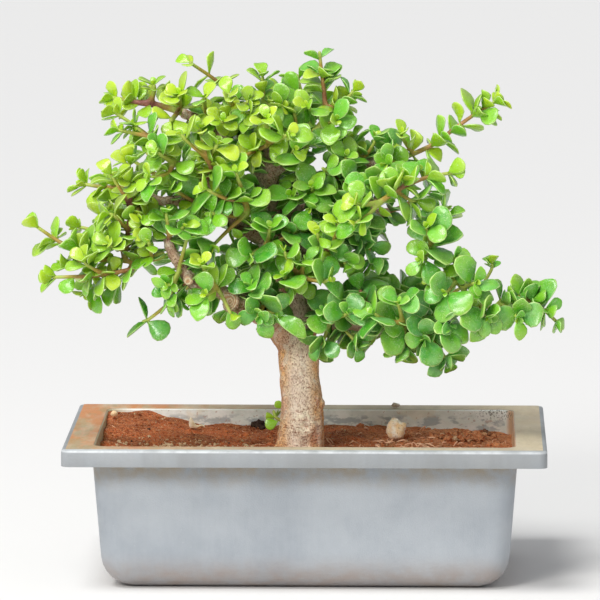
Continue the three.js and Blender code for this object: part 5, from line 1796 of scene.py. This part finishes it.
def grow_spray(index, name, young, stems, wedges, tips):
    """Adds buds, second pairs and stem leaves, and joins them all to their stems."""
    rng = random.Random(SPRAY_SEED + index)
    stems.data.materials.clear()
    stems.data.materials.append(STEM)
    sides = [leaf for wedge in wedges if rng.random() < SIDE_CHANCE and wedge["root"].z > LOWEST
             for leaf in side_leaves(wedge, rng)]
    buds = [leaf for tip, heading in tips for leaf in tip_leaves(tip, heading, rng)]
    way = stems.data.attributes["stem"].data
    others = leaves_on(stems, STEM_TRIES + TRIES_PER_WEDGE * len(wedges), rng, STEM_SIZES,
                       lambda v: way[v.index].value > BARE_TIP and v.co.z > LOWEST)
    for leaf in sides + others:
        leaf["young"] = 0.05
    for leaf in buds:
        leaf["young"] = 0.15
    new = low_shoot_leaves() if name == LOW_SHOOT else keep_those_with_room(buds + sides + others)
    leaves = wedges + new
    join(stems, *lay_leaves(leaves, young, rng))
    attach(stems, "root")
    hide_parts(name)
    return len(leaves)


leaf_counts = [grow_spray(index, *row) for index, row in enumerate(sprays)]
print(sum(leaf_counts), "leaves on the sprays")

# %% Leaves straight on the limbs
rng = random.Random(LIMB_SEED)
girths = wood.data.attributes["girth"].data


def bears_leaves(corner):
    thin = girths[corner.index].value < THICKEST_WITH_LEAVES
    return corner.co.z > LOWEST_ON_LIMB and thin


limb_leaves = keep_those_with_room(leaves_on(wood, LIMB_TRIES, rng, LIMB_SIZES, bears_leaves))
leafage = join(*lay_leaves(limb_leaves, False, rng))
leafage.name = leafage.data.name = "jade_limb_leaves"
hand_over(leafage, None)
bpy.data.objects.remove(leaf_base)
print(len(limb_leaves), "leaves on the limbs")

# %% [markdown]
# ## The studio
#
# A plain pale floor, an even soft light from above, a small lamp at the upper left that
# puts highlights on the leaves, and a pale sky. Nothing here belongs to the plant.

# %% Floor, lights and sky
def make_floor():
    floor = start(bpy.ops.mesh.primitive_plane_add, "studio_floor", size=16)
    material, _, shader = finish("studio_floor", roughness=0.8, specular_ior_level=0.2)
    shader.inputs["Base Color"].default_value = rgb(236, 235, 233)
    floor.data.materials.append(material)


def add_light(kind, name, place, aim, **settings):
    bpy.ops.object.light_add(type=kind, location=place)
    light = bpy.context.object
    light.name = name
    for field, value in settings.items():
        setattr(light.data, field, value)
    light.rotation_euler = (Vector(place) - aim).to_track_quat("Z", "Y").to_euler()


make_floor()
add_light("SUN", "skylight", (-0.35, -0.45, 1.2), Vector(), energy=2.0, angle=math.radians(26))
add_light("AREA", "key", (-0.9, -1.9, 1.25), AIM, shape="DISK", size=0.8, energy=27,
          color=(1, 0.98, 0.95))
sky = bpy.data.worlds.new("pale_sky")
sky.use_nodes = True
backdrop = sky.node_tree.nodes["Background"].inputs
backdrop["Color"].default_value = rgb(238, 240, 244)
backdrop["Strength"].default_value = 0.5
bpy.context.scene.world = sky
bpy.context.scene.view_settings.view_transform = "Standard"

# %% [markdown]
# ## The box
#
# The finished plant is kept inside the same box as the imported one, and that box is printed.
# The finished plant must fill the same box as the imported one, so both are written down.

# %% Sizes, and finish
print("packed box", [[round(v / MM, 1) for v in corner] for corner in cad_box])
